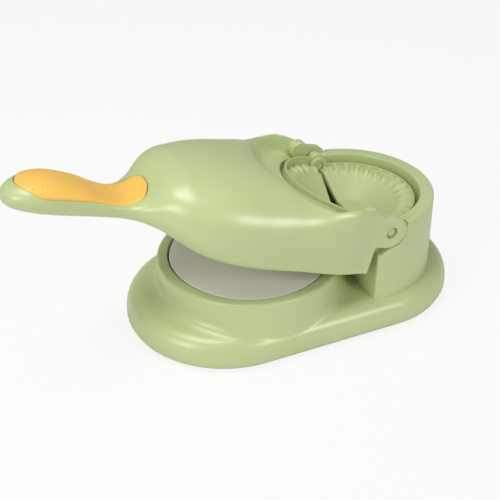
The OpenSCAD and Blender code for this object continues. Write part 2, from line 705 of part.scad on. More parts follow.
// Everything under the grip insert: the handle drawn in, and all below the waist of the handle
module under_grip(deep) {
    loft(handle_places, deep);
    handle_bar(handle_places, [for (s = handle_places) arm_width], [for (s = handle_places) -2 * skirt_depth],
        [for (s = handle_places) waist_z(s) + grip_edge + (grip_deep - deep)]);
}

// Hollow under the arm: round over the press station, straight towards the hinge, with a collar left
// round the opening for the front mould
cavity_radius = upper_plate_radius + cavity_margin;
module arm_cavity(inset, drop, grow) {
    difference() {
        intersection() {
            loft(steps(0.122, 0.6, 21), inset, drop);
            union() {
                translate([press_x - hinge_x, 0, -2 * skirt_depth])
                    cylinder(r = cavity_radius + grow, h = 4 * skirt_depth);
                translate([press_x - hinge_x, -arm_width, -2 * skirt_depth])
                    cube([2 * arm_width, 2 * arm_width, 4 * skirt_depth]);
            }
        }
        translate([0, 0, -cover_depth + cover_thick]) cylinder(r = arm_mouth + arm_wall, h = 2 * skirt_depth);
    }
}

arm_boss_reach = min(cavity_radius, edge_half(press_share) - arm_wall) - boss_radius - 2 * side_gap;
arm_boss_places = [for (a = [80, 150, 210, 280])
    [press_x - hinge_x + arm_boss_reach * cos(a), arm_boss_reach * sin(a)]];

module arm_shell() {
    color(body_green) at_hinge(rest_angle) {
        difference() {
            union() {
                difference() {
                    arm_outer();
                    arm_cavity(arm_wall, over * 2, 0);
                    handle_hollow();
                    // round opening for the front mould
                    translate([0, 0, -base_width]) cylinder(r = arm_mouth, h = 2 * base_width);
                }
                // ears round the pins, with the webs that join them to the sides
                for (side = [-1, 1]) {
                    hinge_bar(ear_radius, ear_inner, ear_face, side);
                    translate([-tower_front - ear_web, side > 0 ? ear_inner : -ear_face, -ear_radius])
                        cube([tower_front + ear_web, ear_thick, ear_radius * 2]);
                }
                // bosses for the cover screws
                intersection() {
                    for (p = arm_boss_places) translate([p[0], p[1], -cover_depth + cover_thick])
                        cylinder(r = boss_radius, h = crown_height + cover_depth, $fn = 32);
                    arm_cavity(arm_wall / 2, over, arm_wall / 2);
                }
            }
            for (side = [-1, 1]) {
                hinge_bar(pin_radius + pin_slip, 0, base_width, side);
                hinge_bar(pin_well, pin_outer, base_width, side);
                // room for the tower lobes
                hinge_bar(ear_swing, 0, ear_inner, side);
            }
            for (p = arm_boss_places) translate([p[0], p[1], -cover_depth])
                cylinder(r = screw_radius, h = cover_thick + screw_bite + over, $fn = 32);
            handle_seat(0);
            difference() {
                translate([0, 0, -skirt_depth]) linear_extrude(crown_height + 2 * skirt_depth)
                    grip_plan(fit_gap / 2);
                under_grip(grip_deep);
            }
        }
        // round stops that meet the tower top when the arm is thrown back
        for (side = [-1, 1]) translate([-stop_ahead, 0, stop_rise])
            hinge_bar(stop_radius, stop_inner, ear_inner + over, side);
    }
}

module handle_underside_cover() {
    color(body_green) at_hinge(rest_angle) intersection() {
        handle_seat(fit_gap / 2);
        arm_outer();
    }
}

module grip_insert() {
    color(grip_yellow) at_hinge(rest_angle) difference() {
        intersection() {
            translate([0, 0, -skirt_depth]) linear_extrude(crown_height + 2 * skirt_depth)
                grip_plan(-fit_gap / 2);
            translate([0, 0, grip_proud]) loft(handle_places);
        }
        under_grip(grip_deep - fit_gap / 3);
    }
}

module arm_underside_cover() {
    places = steps(0.15, share_at(hinge_x - press_x + cavity_radius), 20);
    color(body_green) at_hinge(rest_angle) difference() {
        translate([0, 0, -cover_depth]) linear_extrude(cover_thick) intersection() {
            polygon(concat([for (s = places) [-arm_x(s), edge_half(s) - arm_wall - fit_gap]],
                [for (k = [len(places) - 1 : -1 : 0])
                    [-arm_x(places[k]), -edge_half(places[k]) + arm_wall + fit_gap]]));
            union() {
                translate([press_x - hinge_x, 0]) circle(r = cavity_radius - fit_gap, $fn = 128);
                translate([press_x - hinge_x, -arm_width]) square([hinge_x - press_x, 2 * arm_width]);
            }
        }
        for (p = arm_boss_places) translate([p[0], p[1], -cover_depth - over]) {
            cylinder(r = screw_radius + fit_gap, h = cover_thick + 2 * over, $fn = 32);
            cylinder(r = screw_head + fit_gap, h = screw_head_high + fit_gap + over, $fn = 32);
        }
        translate([press_x - hinge_x, 0, -cover_depth - over])
            cylinder(r = plate_boss + fit_gap, h = cover_thick + 2 * over, $fn = 48);
    }
}

module arm_cover_screws() {
    color(steel_grey) at_hinge(rest_angle) for (p = arm_boss_places)
        translate([p[0], p[1], -cover_depth + fit_gap]) screw(cover_thick + screw_bite - 2 * over);
}

module upper_press_plate() {
    color(plate_white) at_hinge(rest_angle)
    translate([press_x - hinge_x, 0, -cover_depth - upper_plate_thick]) difference() {
        union() {
            rotate_extrude($fn = 128)
                polygon([[0, 0], [upper_plate_radius - edge_bevel, 0], [upper_plate_radius, edge_bevel],
                    [upper_plate_radius, upper_plate_thick], [0, upper_plate_thick]]);
            cylinder(r = plate_boss, h = upper_plate_thick + cover_thick, $fn = 48);
        }
        translate([0, 0, upper_plate_thick / 2])
            cylinder(r = screw_radius, h = upper_plate_thick + cover_thick, $fn = 32);
    }
}

module press_plate_screw() {
    color(steel_grey) at_hinge(rest_angle) translate([press_x - hinge_x, 0, -cover_depth + cover_thick])
        rotate([180, 0, 0]) translate([0, 0, -screw_head_high]) {
            cylinder(r = wide_head, h = screw_head_high, $fn = 48);
            cylinder(r = screw_radius, h = screw_head_high + cover_thick, $fn = 32);
        }
}

base_shell();
bottom_cover();
bottom_cover_screws();
foot(foot_places[0]);  // foot_handle_left
foot(foot_places[1]);  // foot_handle_right
foot(foot_places[2]);  // foot_tower_left
foot(foot_places[3]);  // foot_tower_right
foot([0, 0]);  // centre_foot
lower_press_plate();
rear_mould();
rear_mould_screws();
hinge_pin(1);  // hinge_pin_left
hinge_pin(-1);  // hinge_pin_right
arm_shell();
arm_underside_cover();
arm_cover_screws();
handle_underside_cover();
grip_insert();
upper_press_plate();
press_plate_screw();
front_mould();
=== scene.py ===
# %% [markdown]
# # A hand press with a toothed folding mould
# One green moulding stands on the table and carries two stations: a round press with an off-white
# plate, and behind it a tower with a toothed mould. A long arm with a soft yellow grip turns on two
# pins in the tower. Each cell below takes one piece: first what it is, then how its surface is
# worked out. All lengths are written in millimetres and turned to metres at the end.

import math

import bmesh
import bpy
import numpy as np
from mathutils import Matrix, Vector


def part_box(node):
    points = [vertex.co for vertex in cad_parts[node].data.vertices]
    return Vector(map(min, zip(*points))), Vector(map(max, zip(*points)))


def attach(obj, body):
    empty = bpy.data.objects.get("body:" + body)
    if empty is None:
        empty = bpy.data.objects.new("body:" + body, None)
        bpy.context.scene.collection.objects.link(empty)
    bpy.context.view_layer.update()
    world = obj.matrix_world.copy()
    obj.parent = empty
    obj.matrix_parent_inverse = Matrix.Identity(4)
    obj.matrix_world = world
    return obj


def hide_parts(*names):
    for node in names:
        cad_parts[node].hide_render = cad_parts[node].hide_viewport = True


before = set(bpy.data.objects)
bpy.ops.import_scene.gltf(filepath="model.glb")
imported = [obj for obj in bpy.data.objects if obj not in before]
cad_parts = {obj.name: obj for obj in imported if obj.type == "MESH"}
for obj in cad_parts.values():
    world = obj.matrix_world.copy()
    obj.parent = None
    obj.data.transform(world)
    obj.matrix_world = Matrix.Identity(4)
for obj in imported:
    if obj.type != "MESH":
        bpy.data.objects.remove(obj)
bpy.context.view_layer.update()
MM = 0.001

# %% [markdown]
# The measures come from the construction: the hinge line is where the arm and the front half of the
# mould turn, and both are stored raised, by 15 and 20 degrees. A shape of the arm is worked out level,
# about the hinge line, and then turned up to where it rests.

# %% Measures
HINGE = np.array([36.0, 0.0, 60.0])
PRESS_X = -26.6
ARM_LIFT = 15.0
FRONT_LIFT = 20.0


def raised(points, angle):
    """Turns points about the hinge line: x' = x cos a + z sin a, z' = z cos a - x sin a, then moves
    them from the hinge line to its place over the table."""
    a = math.radians(angle)
    x, y, z = points[..., 0], points[..., 1], points[..., 2]
    turned = np.stack([x * math.cos(a) + z * math.sin(a), y, z * math.cos(a) - x * math.sin(a)], -1)
    return turned + HINGE


print("hinge line at", HINGE, "mm")

# %% [markdown]
# A surface is a grid of points, rows by columns. The helpers turn grids into meshes: the first ones list
# the faces between neighbours and fill flat ends, the last joins several grids into one piece, closes its
# seams and poles and turns all faces outwards.

# %% From grids to a mesh


def quads(rows, columns, round_rows=False, round_columns=False):
    """Corner numbers of the faces between neighbouring grid points, closed round where asked."""
    i, j = np.meshgrid(np.arange(rows if round_rows else rows - 1),
                       np.arange(columns if round_columns else columns - 1), indexing="ij")
    i2, j2 = (i + 1) % rows, (j + 1) % columns
    corners = [i * columns + j, i * columns + j2, i2 * columns + j2, i2 * columns + j]
    return np.stack(corners, -1).reshape(-1, 4)


def sheet(grid, round_rows=False, round_columns=False):
    """One grid as points and faces."""
    rows, columns = grid.shape[:2]
    return grid.reshape(-1, 3), quads(rows, columns, round_rows, round_columns).tolist()


def capped(grid):
    """A grid whose rows are closed loops, with its first and last loop filled as flat ends."""
    points, faces = sheet(grid, round_columns=True)
    rows, columns = grid.shape[:2]
    return points, faces + [[row * columns + k for k in range(columns)] for row in (0, rows - 1)]


def smooth(thing, crease):
    """Shades smoothly, but keeps edges sharper than the crease angle crisp."""
    thing.data.shade_smooth()
    thing.data.set_sharp_from_angle(angle=math.radians(crease))


def piece(name, shells, crease=35.0):
    """One object from several closed shells. Points that meet are merged, which closes seams and poles,
    and the normals are then made to point outwards."""
    points, faces, start = [], [], 0
    for shell_points, shell_faces in shells:
        points.append(shell_points)
        faces += [[start + k for k in face] for face in shell_faces]
        start += len(shell_points)
    mesh = bpy.data.meshes.new(name)
    mesh.from_pydata(np.concatenate(points) * MM, [], faces)
    work = bmesh.new()
    work.from_mesh(mesh)
    bmesh.ops.remove_doubles(work, verts=work.verts, dist=1e-6)
    bmesh.ops.dissolve_degenerate(work, edges=work.edges, dist=1e-7)
    bmesh.ops.recalc_face_normals(work, faces=work.faces)
    work.to_mesh(mesh)
    work.free()
    thing = bpy.data.objects.new(name, mesh)
    bpy.context.scene.collection.objects.link(thing)
    smooth(thing, crease)
    return thing


def cut(thing, cutters, crease):
    """Takes closed cutter pieces away from a piece and keeps the plain mesh that is left."""
    for cutter in cutters:
        step = thing.modifiers.new("cut", "BOOLEAN")
        step.operation, step.solver, step.object = "DIFFERENCE", "EXACT", cutter
    graph = bpy.context.evaluated_depsgraph_get()
    done = bpy.data.meshes.new_from_object(thing.evaluated_get(graph))
    done.name = thing.name
    thing.modifiers.clear()
    thing.data = done
    for cutter in cutters:
        bpy.data.objects.remove(cutter)
    smooth(thing, crease)


def join(thing, other, crease):
    """Makes another piece part of this one, because the real thing is one moulding."""
    with bpy.context.temp_override(active_object=thing, selected_editable_objects=[thing, other]):
        bpy.ops.object.join()
    smooth(thing, crease)


print("helpers ready")

# %% [markdown]
# Moulded edges are never knife sharp. A profile is written as its corners, and each corner is replaced
# by a small curve that starts and ends on the two straight lines. A profile is then spun about an
# upright axis or about the hinge line, or an outline is drawn out to a prism.

# %% Rounded profiles, spun surfaces and prisms
PAST_SIDE = 60.0


def rectangle(u0, u1, v0, v1):
    """Corners of a rectangle."""
    return np.array([[u0, v0], [u1, v0], [u1, v1], [u0, v1]])


def rounded(corners, radii, steps=5):
    """Polyline through corners; corner k is replaced by the curve (1-t)^2 a + 2t(1-t) q + t^2 b, where
    a and b lie at the given distance from the corner q, on the lines to its neighbours."""
    corners = np.asarray(corners, float)
    t = np.linspace(0, 1, steps + 1)[:, None]
    runs = [corners[:1]]
    for before, corner, after, radius in zip(corners[:-2], corners[1:-1], corners[2:], radii):
        if radius <= 0:
            runs.append(corner[None])
            continue
        to_before = (before - corner) / np.linalg.norm(before - corner)
        to_after = (after - corner) / np.linalg.norm(after - corner)
        a, b = corner + radius * to_before, corner + radius * to_after
        runs.append((1 - t) ** 2 * a + 2 * t * (1 - t) * corner + t ** 2 * b)
    runs.append(corners[-1:])
    return np.concatenate(runs)


def spun(profile, centre, turns):
    """Solid of revolution about an upright axis: (r, z) becomes (cx + r cos a, cy + r sin a, z)."""
    angle = np.linspace(0, 2 * np.pi, turns, endpoint=False)[None, :]
    r, z = profile[:, :1], profile[:, 1:]
    grid = np.stack([centre[0] + r * np.cos(angle), centre[1] + r * np.sin(angle), z + 0 * angle], -1)
    return sheet(grid, round_columns=True)


def barrel(profile, turns=72, hollow=False):
    """Solid of revolution about the hinge line: (r, y) becomes (hx + r cos a, y, hz + r sin a). The
    profile of a hollow one is a closed loop."""
    angle = np.linspace(0, 2 * np.pi, turns, endpoint=False)[None, :]
    r, y = profile[:, :1], profile[:, 1:]
    grid = np.stack([HINGE[0] + r * np.cos(angle), y + 0 * angle, HINGE[2] + r * np.sin(angle)], -1)
    return sheet(grid, round_rows=hollow, round_columns=True)


def level(outline, z):
    """An outline in plan as points at one height."""
    return np.column_stack([outline, np.full(len(outline), z)])


def prism(outline, low, high):
    """Upright prism over an outline of (x, y) points."""
    return capped(np.stack([level(outline, z) for z in (low, high)]))


def side_prism(outline, low, high):
    """Prism along y over an outline of (x, z) points."""
    x, z = outline[:, 0], outline[:, 1]
    return capped(np.stack([np.column_stack([x, np.full(len(x), y), z]) for y in (low, high)]))


def hinge_cutters(holes):
    """Round cutters along the hinge line, on both sides, from each start out past the side."""
    return [piece("room", [barrel(rectangle(0, radius, *sorted([side * start, side * PAST_SIDE])), 64)])
            for side in (-1, 1) for radius, start in holes]


print("profile helpers ready")

# %% [markdown]
# ## The base
# The flange is a rounded rim that runs round an oval, two half circles joined by straight sides. Its
# side profile is carried along that oval, drawn in by a different amount at each height. Half circles
# and straights meet with the same tangent, so the moulding shows no break there.

# %% The flange
FLANGE_R = 57.0
FLANGE_END = (40.7, -41.3)
SHOULDER_IN, SHOULDER_LOW, SHOULDER_TOP, SHOULDER_N = 13.0, 5.5, 19.3, 2.6
FOOT_IN, FOOT_Z = 1.6, 2.0
RECESS_IN, RECESS_Z = 9.6, 4.3
HALF_STEPS = 97


def oval(inset):
    """Outline of the base in plan, drawn in: normals turn through a full circle, and each half circle
    has its own centre, about 41 mm to its side."""
    a = np.radians(np.concatenate([np.linspace(-90, 90, HALF_STEPS), np.linspace(90, 270, HALF_STEPS)]))
    centre = np.repeat(FLANGE_END, HALF_STEPS)
    return np.stack([centre + (FLANGE_R - inset) * np.cos(a), (FLANGE_R - inset) * np.sin(a)], -1)


def shoulder_at(inset):
    """Height and slope of the flange at an inset d from its widest line: with w = 1 - d / 13 the height is
    low + rise (1 - w^n)^(1/n), and the slope is its derivative."""
    w = np.clip(1 - inset / SHOULDER_IN, 0, 1)
    rise = SHOULDER_TOP - SHOULDER_LOW
    left = np.maximum(1 - w ** SHOULDER_N, 1e-6)
    height = SHOULDER_LOW + rise * left ** (1 / SHOULDER_N)
    return height, rise / SHOULDER_IN * left ** (1 / SHOULDER_N - 1) * w ** (SHOULDER_N - 1)


t = np.radians(np.linspace(0, 90, 40))
drawn_in = SHOULDER_IN * (1 - np.cos(t) ** (2 / SHOULDER_N))
shoulder = np.column_stack([drawn_in, shoulder_at(drawn_in)[0]])
foot = rounded([[RECESS_IN, RECESS_Z], [RECESS_IN, FOOT_Z], [FOOT_IN, FOOT_Z], [0.0, SHOULDER_LOW]],
               [0.3, 1.0], 4)
flange_side = np.concatenate([foot[:-1], shoulder])
flange = capped(np.stack([level(oval(inset), z) for inset, z in flange_side]))
print("flange points:", len(flange[0]))

# %% [markdown]
# The drum of the press station flares at its foot into the flange. Seen from the press centre, the
# flange ends at a different distance in each direction, so the flare is worked out ray by ray: it leaves
# the wall straight down and lands on the flange along the flange's own slope. In front, where the flange is
# narrow, it lands on the shoulder. Below that line it dips into the flange and closes inside it.

# %% The drum and its sweep
RING_R, RING_TOP, PLATE_R = 52.0, 36.8, 45.3
DRUM_FOOT, DRUM_LOW, DRUM_START = 53.4, 17.0, 22.0
SWEEP_TOP, SWEEP_REACH, SWEEP_SHARE = 25.5, 8.5, 0.42
LAP, LAP_DEEP, TUCK, TUCK_DEEP = 0.3, 0.03, 0.5, 3.0
CORE_R, CORE_LOW = 40.0, 12.0
SEAT_GAP, SEAT_Z = 0.9, 30.2
RING_ROUND, LIP_ROUND = 1.8, 0.7


def oval_reach(a):
    """Distance from the press centre to the oval in direction a: the straight side is r / |sin a| away, a
    half circle at c is c cos a + sqrt(r^2 - c^2 sin^2 a) away."""
    side = np.where(np.cos(a) > 0, FLANGE_END[0], FLANGE_END[1]) - PRESS_X
    flat = FLANGE_R / np.maximum(np.abs(np.sin(a)), 1e-4)
    on_flat = (flat * np.cos(a) + PRESS_X <= FLANGE_END[0]) & (flat * np.cos(a) + PRESS_X >= FLANGE_END[1])
    round_end = side * np.cos(a) + np.sqrt(np.maximum(FLANGE_R ** 2 - (side * np.sin(a)) ** 2, 0))
    return np.where(on_flat, flat, round_end)


def drum_wall(z):
    """Radius of the drum at a height: a straight line from its foot to its top."""
    return DRUM_FOOT + (RING_R - DRUM_FOOT) * (z - DRUM_LOW) / (RING_TOP - DRUM_LOW)


ray = np.linspace(0, 2 * np.pi, 360, endpoint=False)
reach = oval_reach(ray)
land = DRUM_FOOT + np.minimum(SWEEP_REACH, SWEEP_SHARE * (reach - DRUM_FOOT))
land_z, land_slope = shoulder_at(reach - land)
turn_z = land_z + land_slope * (land - DRUM_FOOT)
t = np.linspace(0, 1, 25)[:, None]
flare_r = (1 - t) ** 2 * drum_wall(SWEEP_TOP) + 2 * t * (1 - t) * DRUM_FOOT + t ** 2 * land
flare_z = (1 - t) ** 2 * SWEEP_TOP + 2 * t * (1 - t) * turn_z + t ** 2 * land_z
core = np.full((1, len(ray)), CORE_R)
r = np.concatenate([core, flare_r, [land + LAP, land - TUCK], core])
z = np.concatenate([0 * core + SWEEP_TOP, flare_z,
                    [land_z - LAP * land_slope - LAP_DEEP, land_z - TUCK_DEEP], 0 * core + CORE_LOW])
sweep = capped(np.stack([PRESS_X + r * np.cos(ray), r * np.sin(ray), z], -1))

plate_seat = PLATE_R + SEAT_GAP
drum_side = rounded([[0, DRUM_START], [drum_wall(DRUM_START), DRUM_START], [RING_R, RING_TOP],
                     [plate_seat, RING_TOP], [plate_seat, SEAT_Z], [0, SEAT_Z]],
                    [0, RING_ROUND, LIP_ROUND, 0])
drum = spun(drum_side, (PRESS_X, 0), 256)
print("drum radius", RING_R, "top at", RING_TOP)

# %% [markdown]
# The tower is a round wall whose front is cut flat, a little ahead of the hinge line. Its outline is
# an arc closed by a chord with rounded corners, and it is lofted upwards with a slight draft. The
# mouth, the open front, the room below and the two pockets for the ears are then cut out of it.

# %% The mould tower
TOWER_R, TOWER_LOW, TOWER_TOP, TOWER_FRONT = 48.5, 15.0, 64.0, -7.1
DRAFT, ROOF_IN, ROOF_ROUND = 1.0, 6.0, 1.1
CORNER, CORNER_ROUND, CHORD_IN = 1.2, 1.15, 1.5
MOUTH_R, MOUTH_LOW, MOUTH_ROUND, MOUTH_OVER, MOUTH_RISE = 40.6, 49.0, 0.9, 4.0, 2.2
WAY_FRONT, WAY_BACK, WAY_LOW, WAY_TOP = -10.0, 1.0, 42.0, 70.0
ROOM_R, ROOM_TURN, ROOM_LOW, ROOM_TOP = 38.0, 97, 22.0, 60.0
CHEEK = 44.0
EAR_ROOM, POCKET_LOW, POCKET_TOP, POCKET_FRONT, POCKET_BACK = 9.35, -12.4, 9.3, -10.0, 10.2
POCKET_STEP = 4.0
POCKET_SLOPE = [[-6.5, POCKET_LOW], [-5.0, -11.9], [-2.5, -10.3]]


def tower_outline(inset):
    """Arc of radius r about the hinge centre, closed by the chord x = front, with small round corners."""
    r, front = TOWER_R - inset, TOWER_FRONT + inset
    end = math.acos((front + CORNER) / r)
    arc = np.linspace(-end, end, 241)
    arc = np.column_stack([r * np.cos(arc), r * np.sin(arc)])
    y = math.sqrt(r ** 2 - front ** 2)
    corner = rounded([arc[-1], [front, y], [front, y - CORNER]], [CORNER_ROUND], 6)
    chord = np.column_stack([np.full(40, front), np.linspace(y - CHORD_IN, -y + CHORD_IN, 40)])
    return np.concatenate([arc, corner[1:], chord, (corner * [1, -1])[::-1][:-1]])


def arc_points(radius, start, end, steps):
    """Points of an arc about the origin, from one angle in degrees to another."""
    a = np.radians(np.linspace(start, end, steps))
    return np.column_stack([radius * np.cos(a), radius * np.sin(a)])


tower_side = rounded([[-DRAFT, TOWER_LOW], [0.0, TOWER_TOP], [ROOF_IN, TOWER_TOP]], [ROOF_ROUND], 6)
rows = np.stack([level(tower_outline(inset), z) for inset, z in tower_side])
base_skin = piece("base_skin", [capped(rows + HINGE * [1, 1, 0])])

mouth = rounded([[0, MOUTH_LOW], [MOUTH_R, MOUTH_LOW], [MOUTH_R, TOWER_TOP],
                 [MOUTH_R + MOUTH_OVER, TOWER_TOP + MOUTH_RISE], [0, TOWER_TOP + MOUTH_RISE]],
                [0, MOUTH_ROUND, 0])
front_way = rectangle(WAY_FRONT, WAY_BACK, -MOUTH_R, MOUTH_R) + HINGE[:2]
room = arc_points(ROOM_R, -ROOM_TURN, ROOM_TURN, 97) + HINGE[:2]
pocket = np.concatenate([arc_points(EAR_ROOM, -90, 0, 25),
                         [[POCKET_BACK, POCKET_STEP], [POCKET_BACK, POCKET_TOP], [POCKET_FRONT, POCKET_TOP],
                          [POCKET_FRONT, POCKET_LOW]], POCKET_SLOPE]) + HINGE[[0, 2]]
cutters = [piece("mouth", [spun(mouth, HINGE[:2], 256)]),
           piece("front_way", [prism(front_way, WAY_LOW, WAY_TOP)]),
           piece("room", [prism(room, ROOM_LOW, ROOM_TOP)])]
for side in (-1, 1):
    cutters.append(piece("pocket", [side_prism(pocket, *sorted([side * CHEEK, side * PAST_SIDE]))]))
cut(base_skin, cutters, crease=32)
print("tower faces after the cuts:", len(base_skin.data.polygons))

# %% [markdown]
# The lobes that carry the pins stand on the inner side of each cheek: a short round bar along the
# hinge line on a small pillar. They join the tower, the flange and the drum in one object, because
# the real base is one moulding.

# %% One base
LOBE_R, LOBE_IN, LOBE_ROUND = 6.2, 38.6, 0.5
PILLAR_HALF, PILLAR_IN = 4.13, 0.15

lobes = []
for side in (-1, 1):
    inner, outer = sorted([side * LOBE_IN, side * CHEEK])
    lobes.append(barrel(rounded(rectangle(0, LOBE_R, inner, outer), [LOBE_ROUND, LOBE_ROUND], 4)))
    lobes.append(side_prism(rectangle(-PILLAR_HALF, PILLAR_HALF, -LOBE_R, 0.0) + HINGE[[0, 2]],
                            inner + PILLAR_IN, outer - PILLAR_IN))
join(base_skin, piece("rest_of_base", [flange, sweep, drum] + lobes), crease=32)
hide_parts("base_shell")
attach(base_skin, "base")
print("base faces:", len(base_skin.data.polygons))

# %% [markdown]
# ## The arm
# The arm is one flowing moulding from a broad cover over the press down to a narrow handle. It is
# described by stations along its length. At each station a few shares say how wide and how high it is,
# and a smooth curve is drawn through them. A section is a superellipse above the waist, which is squarer
# near the hinge and rounder at the handle, and a tuck inwards below it.

# %% Stations of the arm
ARM_L, ARM_W, CROWN, SKIRT = 198.0, 104.0, 19.0, 25.0
STATION = np.array([0.038, 0.07, 0.106, 0.141, 0.171, 0.206, 0.231, 0.266, 0.31, 0.362, 0.422, 0.482,
                    0.533, 0.573, 0.613, 0.653, 0.693, 0.744, 0.809, 0.884, 0.935, 0.975, 0.995, 1.0])
WAIST_HALF = np.array([0.93, 0.938, 0.975, 1, 1, 0.995, 0.99, 0.985, 0.975, 0.96, 0.93, 0.88,
                       0.805, 0.705, 0.55, 0.38, 0.285, 0.263, 0.28, 0.3, 0.27, 0.186, 0.088, 0.03])
EDGE_HALF = np.array([0.93, 0.935, 0.962, 0.974, 0.972, 0.965, 0.958, 0.945, 0.925, 0.89, 0.825, 0.725,
                      0.618, 0.49, 0.343, 0.235, 0.167, 0.138, 0.138, 0.147, 0.128, 0.088, 0.044, 0.015])
TOP = np.array([0.53, 0.625, 0.735, 0.825, 0.865, 0.86, 0.84, 0.87, 0.955, 1, 1, 0.96,
                0.88, 0.78, 0.5, -0.03, -0.25, -0.2, 0.07, 0.21, 0.16, -0.03, -0.2, -0.36])
WAIST = np.array([0.85, 0.82, 0.8, 0.79, 0.77, 0.75, 0.73, 0.7, 0.66, 0.62, 0.55, 0.47,
                  0.38, 0.3, 0.24, 0.245, 0.275, 0.24, 0.175, 0.16, 0.19, 0.24, 0.28, 0.3])
EDGE = np.array([1, 0.99, 0.972, 0.955, 0.94, 0.922, 0.908, 0.895, 0.892, 0.895, 0.89, 0.86,
                 0.79, 0.69, 0.58, 0.55, 0.55, 0.55, 0.535, 0.505, 0.48, 0.45, 0.38, 0.31])
SQUARE = np.array([30, 26, 17, 11, 8, 6, 4.8, 3.8, 3.2, 2.8, 2.7, 2.6,
                   2.5, 2.6, 3.0, 3.3, 3.0, 2.5, 2.2, 2.2, 2.2, 2.2, 2.2, 2.2])
LEAST = 0.05


def through(places, values, s):
    """Smooth curve through the values at the places: cubic pieces 2t^3-3t^2+1, t^3-2t^2+t, ..., with the
    slope at each place taken from its two neighbours."""
    slope = np.empty_like(values)
    slope[1:-1] = (values[2:] - values[:-2]) / (places[2:] - places[:-2])
    slope[0] = (values[1] - values[0]) / (places[1] - places[0])
    slope[-1] = (values[-1] - values[-2]) / (places[-1] - places[-2])
    i = np.clip(np.searchsorted(places, s, "right") - 1, 0, len(places) - 2)
    h = places[i + 1] - places[i]
    t = np.clip((s - places[i]) / h, 0, 1)
    return ((2 * t ** 3 - 3 * t ** 2 + 1) * values[i] + (t ** 3 - 2 * t ** 2 + t) * h * slope[i]
            + (3 * t ** 2 - 2 * t ** 3) * values[i + 1] + (t ** 3 - t ** 2) * h * slope[i + 1])


def station(x):
    """Place along the arm as a share of its length, kept within the stations."""
    return np.clip(-x / ARM_L, STATION[0], 1)


def half_width(s, shares):
    """Half width of the arm at a station, from the shares of its waist or its lower edge."""
    return ARM_W / 2 * through(STATION, shares, s)


def drop(s, shares):
    """Height of the waist or the lower edge at a station; both lie below the hinge line."""
    return -SKIRT * through(STATION, shares, s)


def crown(s):
    """Height of the top at a station."""
    return CROWN * through(STATION, TOP, s)


def arch(s, q):
    """Half width and height of the section at station s in direction q, an angle from the top of 0 to 90
    degrees: r = (|sin q|^n + |cos q|^n)^(-1/n) of a superellipse. The third value is 1 on the top line and
    falls to 0 at the waist."""
    n = through(STATION, SQUARE, s)
    sin, cos = np.sin(q), np.cos(q)
    r = (sin ** n + cos ** n) ** (-1 / n)
    waist = drop(s, WAIST)
    y = np.maximum(half_width(s, WAIST_HALF), LEAST) * r * sin
    rise = np.maximum(crown(s) - waist, LEAST)
    return y, waist + rise * r * cos, np.maximum(r * cos, 0) ** 0.7


print("arm stations:", len(STATION))

# %% [markdown]
# The top sinks to a hollow that leads down to the mould, with a raised lip left along each side. The lip
# keeps its height because the hollow fades out just inside the side of the arm.

# %% Hollow in front of the mould
DISH_DEEP, DISH_REACH, DISH_RUN = 11.0, 56.0, 20.0
LONG_SHARE, WIDE_SHARE = 1.25, 0.75
REACH_LOSS, RUN_LOSS = 0.15, 0.25
LIP, LIP_RUN = 3.2, 2.0


def ease(t):
    """0 below 0, 1 above 1, and t^2 (3 - 2t) between."""
    t = np.clip(t, 0, 1)
    return t * t * (3 - 2 * t)


def dish(x, y):
    """Depth of the hollow: 11 e((56 - 0.15 |y| - d) / (20 - 0.25 |y|)) e((side - 3.2 - |y|) / 2), where e
    eases from 0 to 1, d^2 = (x / 1.25)^2 + (0.75 y)^2 and side is the half width of the arm."""
    away = np.sqrt((x / LONG_SHARE) ** 2 + (WIDE_SHARE * y) ** 2)
    fade = (DISH_REACH - REACH_LOSS * np.abs(y) - away) / (DISH_RUN - RUN_LOSS * np.abs(y))
    to_lip = (half_width(station(x), WAIST_HALF) - LIP - np.abs(y)) / LIP_RUN
    return DISH_DEEP * ease(fade) * ease(to_lip)


print("hollow reaches", DISH_REACH * LONG_SHARE, "mm from the hinge line")

# %% [markdown]
# The opening for the front mould is a round hole about the hinge centre, so the rows of the grid start
# on that circle and straighten out towards the handle. A row position u gives x = b(y) (1 - u) + tip u,
# where b(y) is the edge of the opening. As y itself depends on x, the pair is found by repeating the two
# formulas until they agree.

# %% The skin of the arm
OPENING, REAR, ROLL = 41.8, 8.1, 0.9
BLEND = 40.0
NEAR_ROWS = np.array([0, 0.15, 0.35, 0.6, 0.9, 1.3, 1.8, 2.5, 3.3]) / ARM_L
MIDDLE_ROWS = np.linspace(4.2 / ARM_L, 0.95, 110)
TIP_ROWS = [0.958, 0.966, 0.973, 0.979, 0.984, 0.988, 0.991, 0.994, 0.996, 0.998, 0.9993, 1.0]


def opening_edge(y):
    """x of the edge: minus the square root of (R^2 - y^2), no nearer the hinge than the rear end. The two
    parts blend by rear^2 + 40 log(1 + exp((R^2 - y^2 - rear^2) / 40))."""
    over_rear = OPENING ** 2 - y ** 2 - REAR ** 2
    return -np.sqrt(REAR ** 2 + BLEND * np.log1p(np.exp(np.clip(over_rear / BLEND, -50, 50))))


def settle(u, width_at):
    """x and y that satisfy x = b(y)(1 - u) - L u and y = width_at(station of x)."""
    x = np.broadcast_to(-REAR - u * (ARM_L - REAR), np.broadcast_shapes(u.shape, width_at(u).shape)).copy()
    for _ in range(60):
        y = width_at(station(x))
        x = 0.5 * x + 0.5 * (opening_edge(y) * (1 - u) - ARM_L * u)
    return x, width_at(station(x))


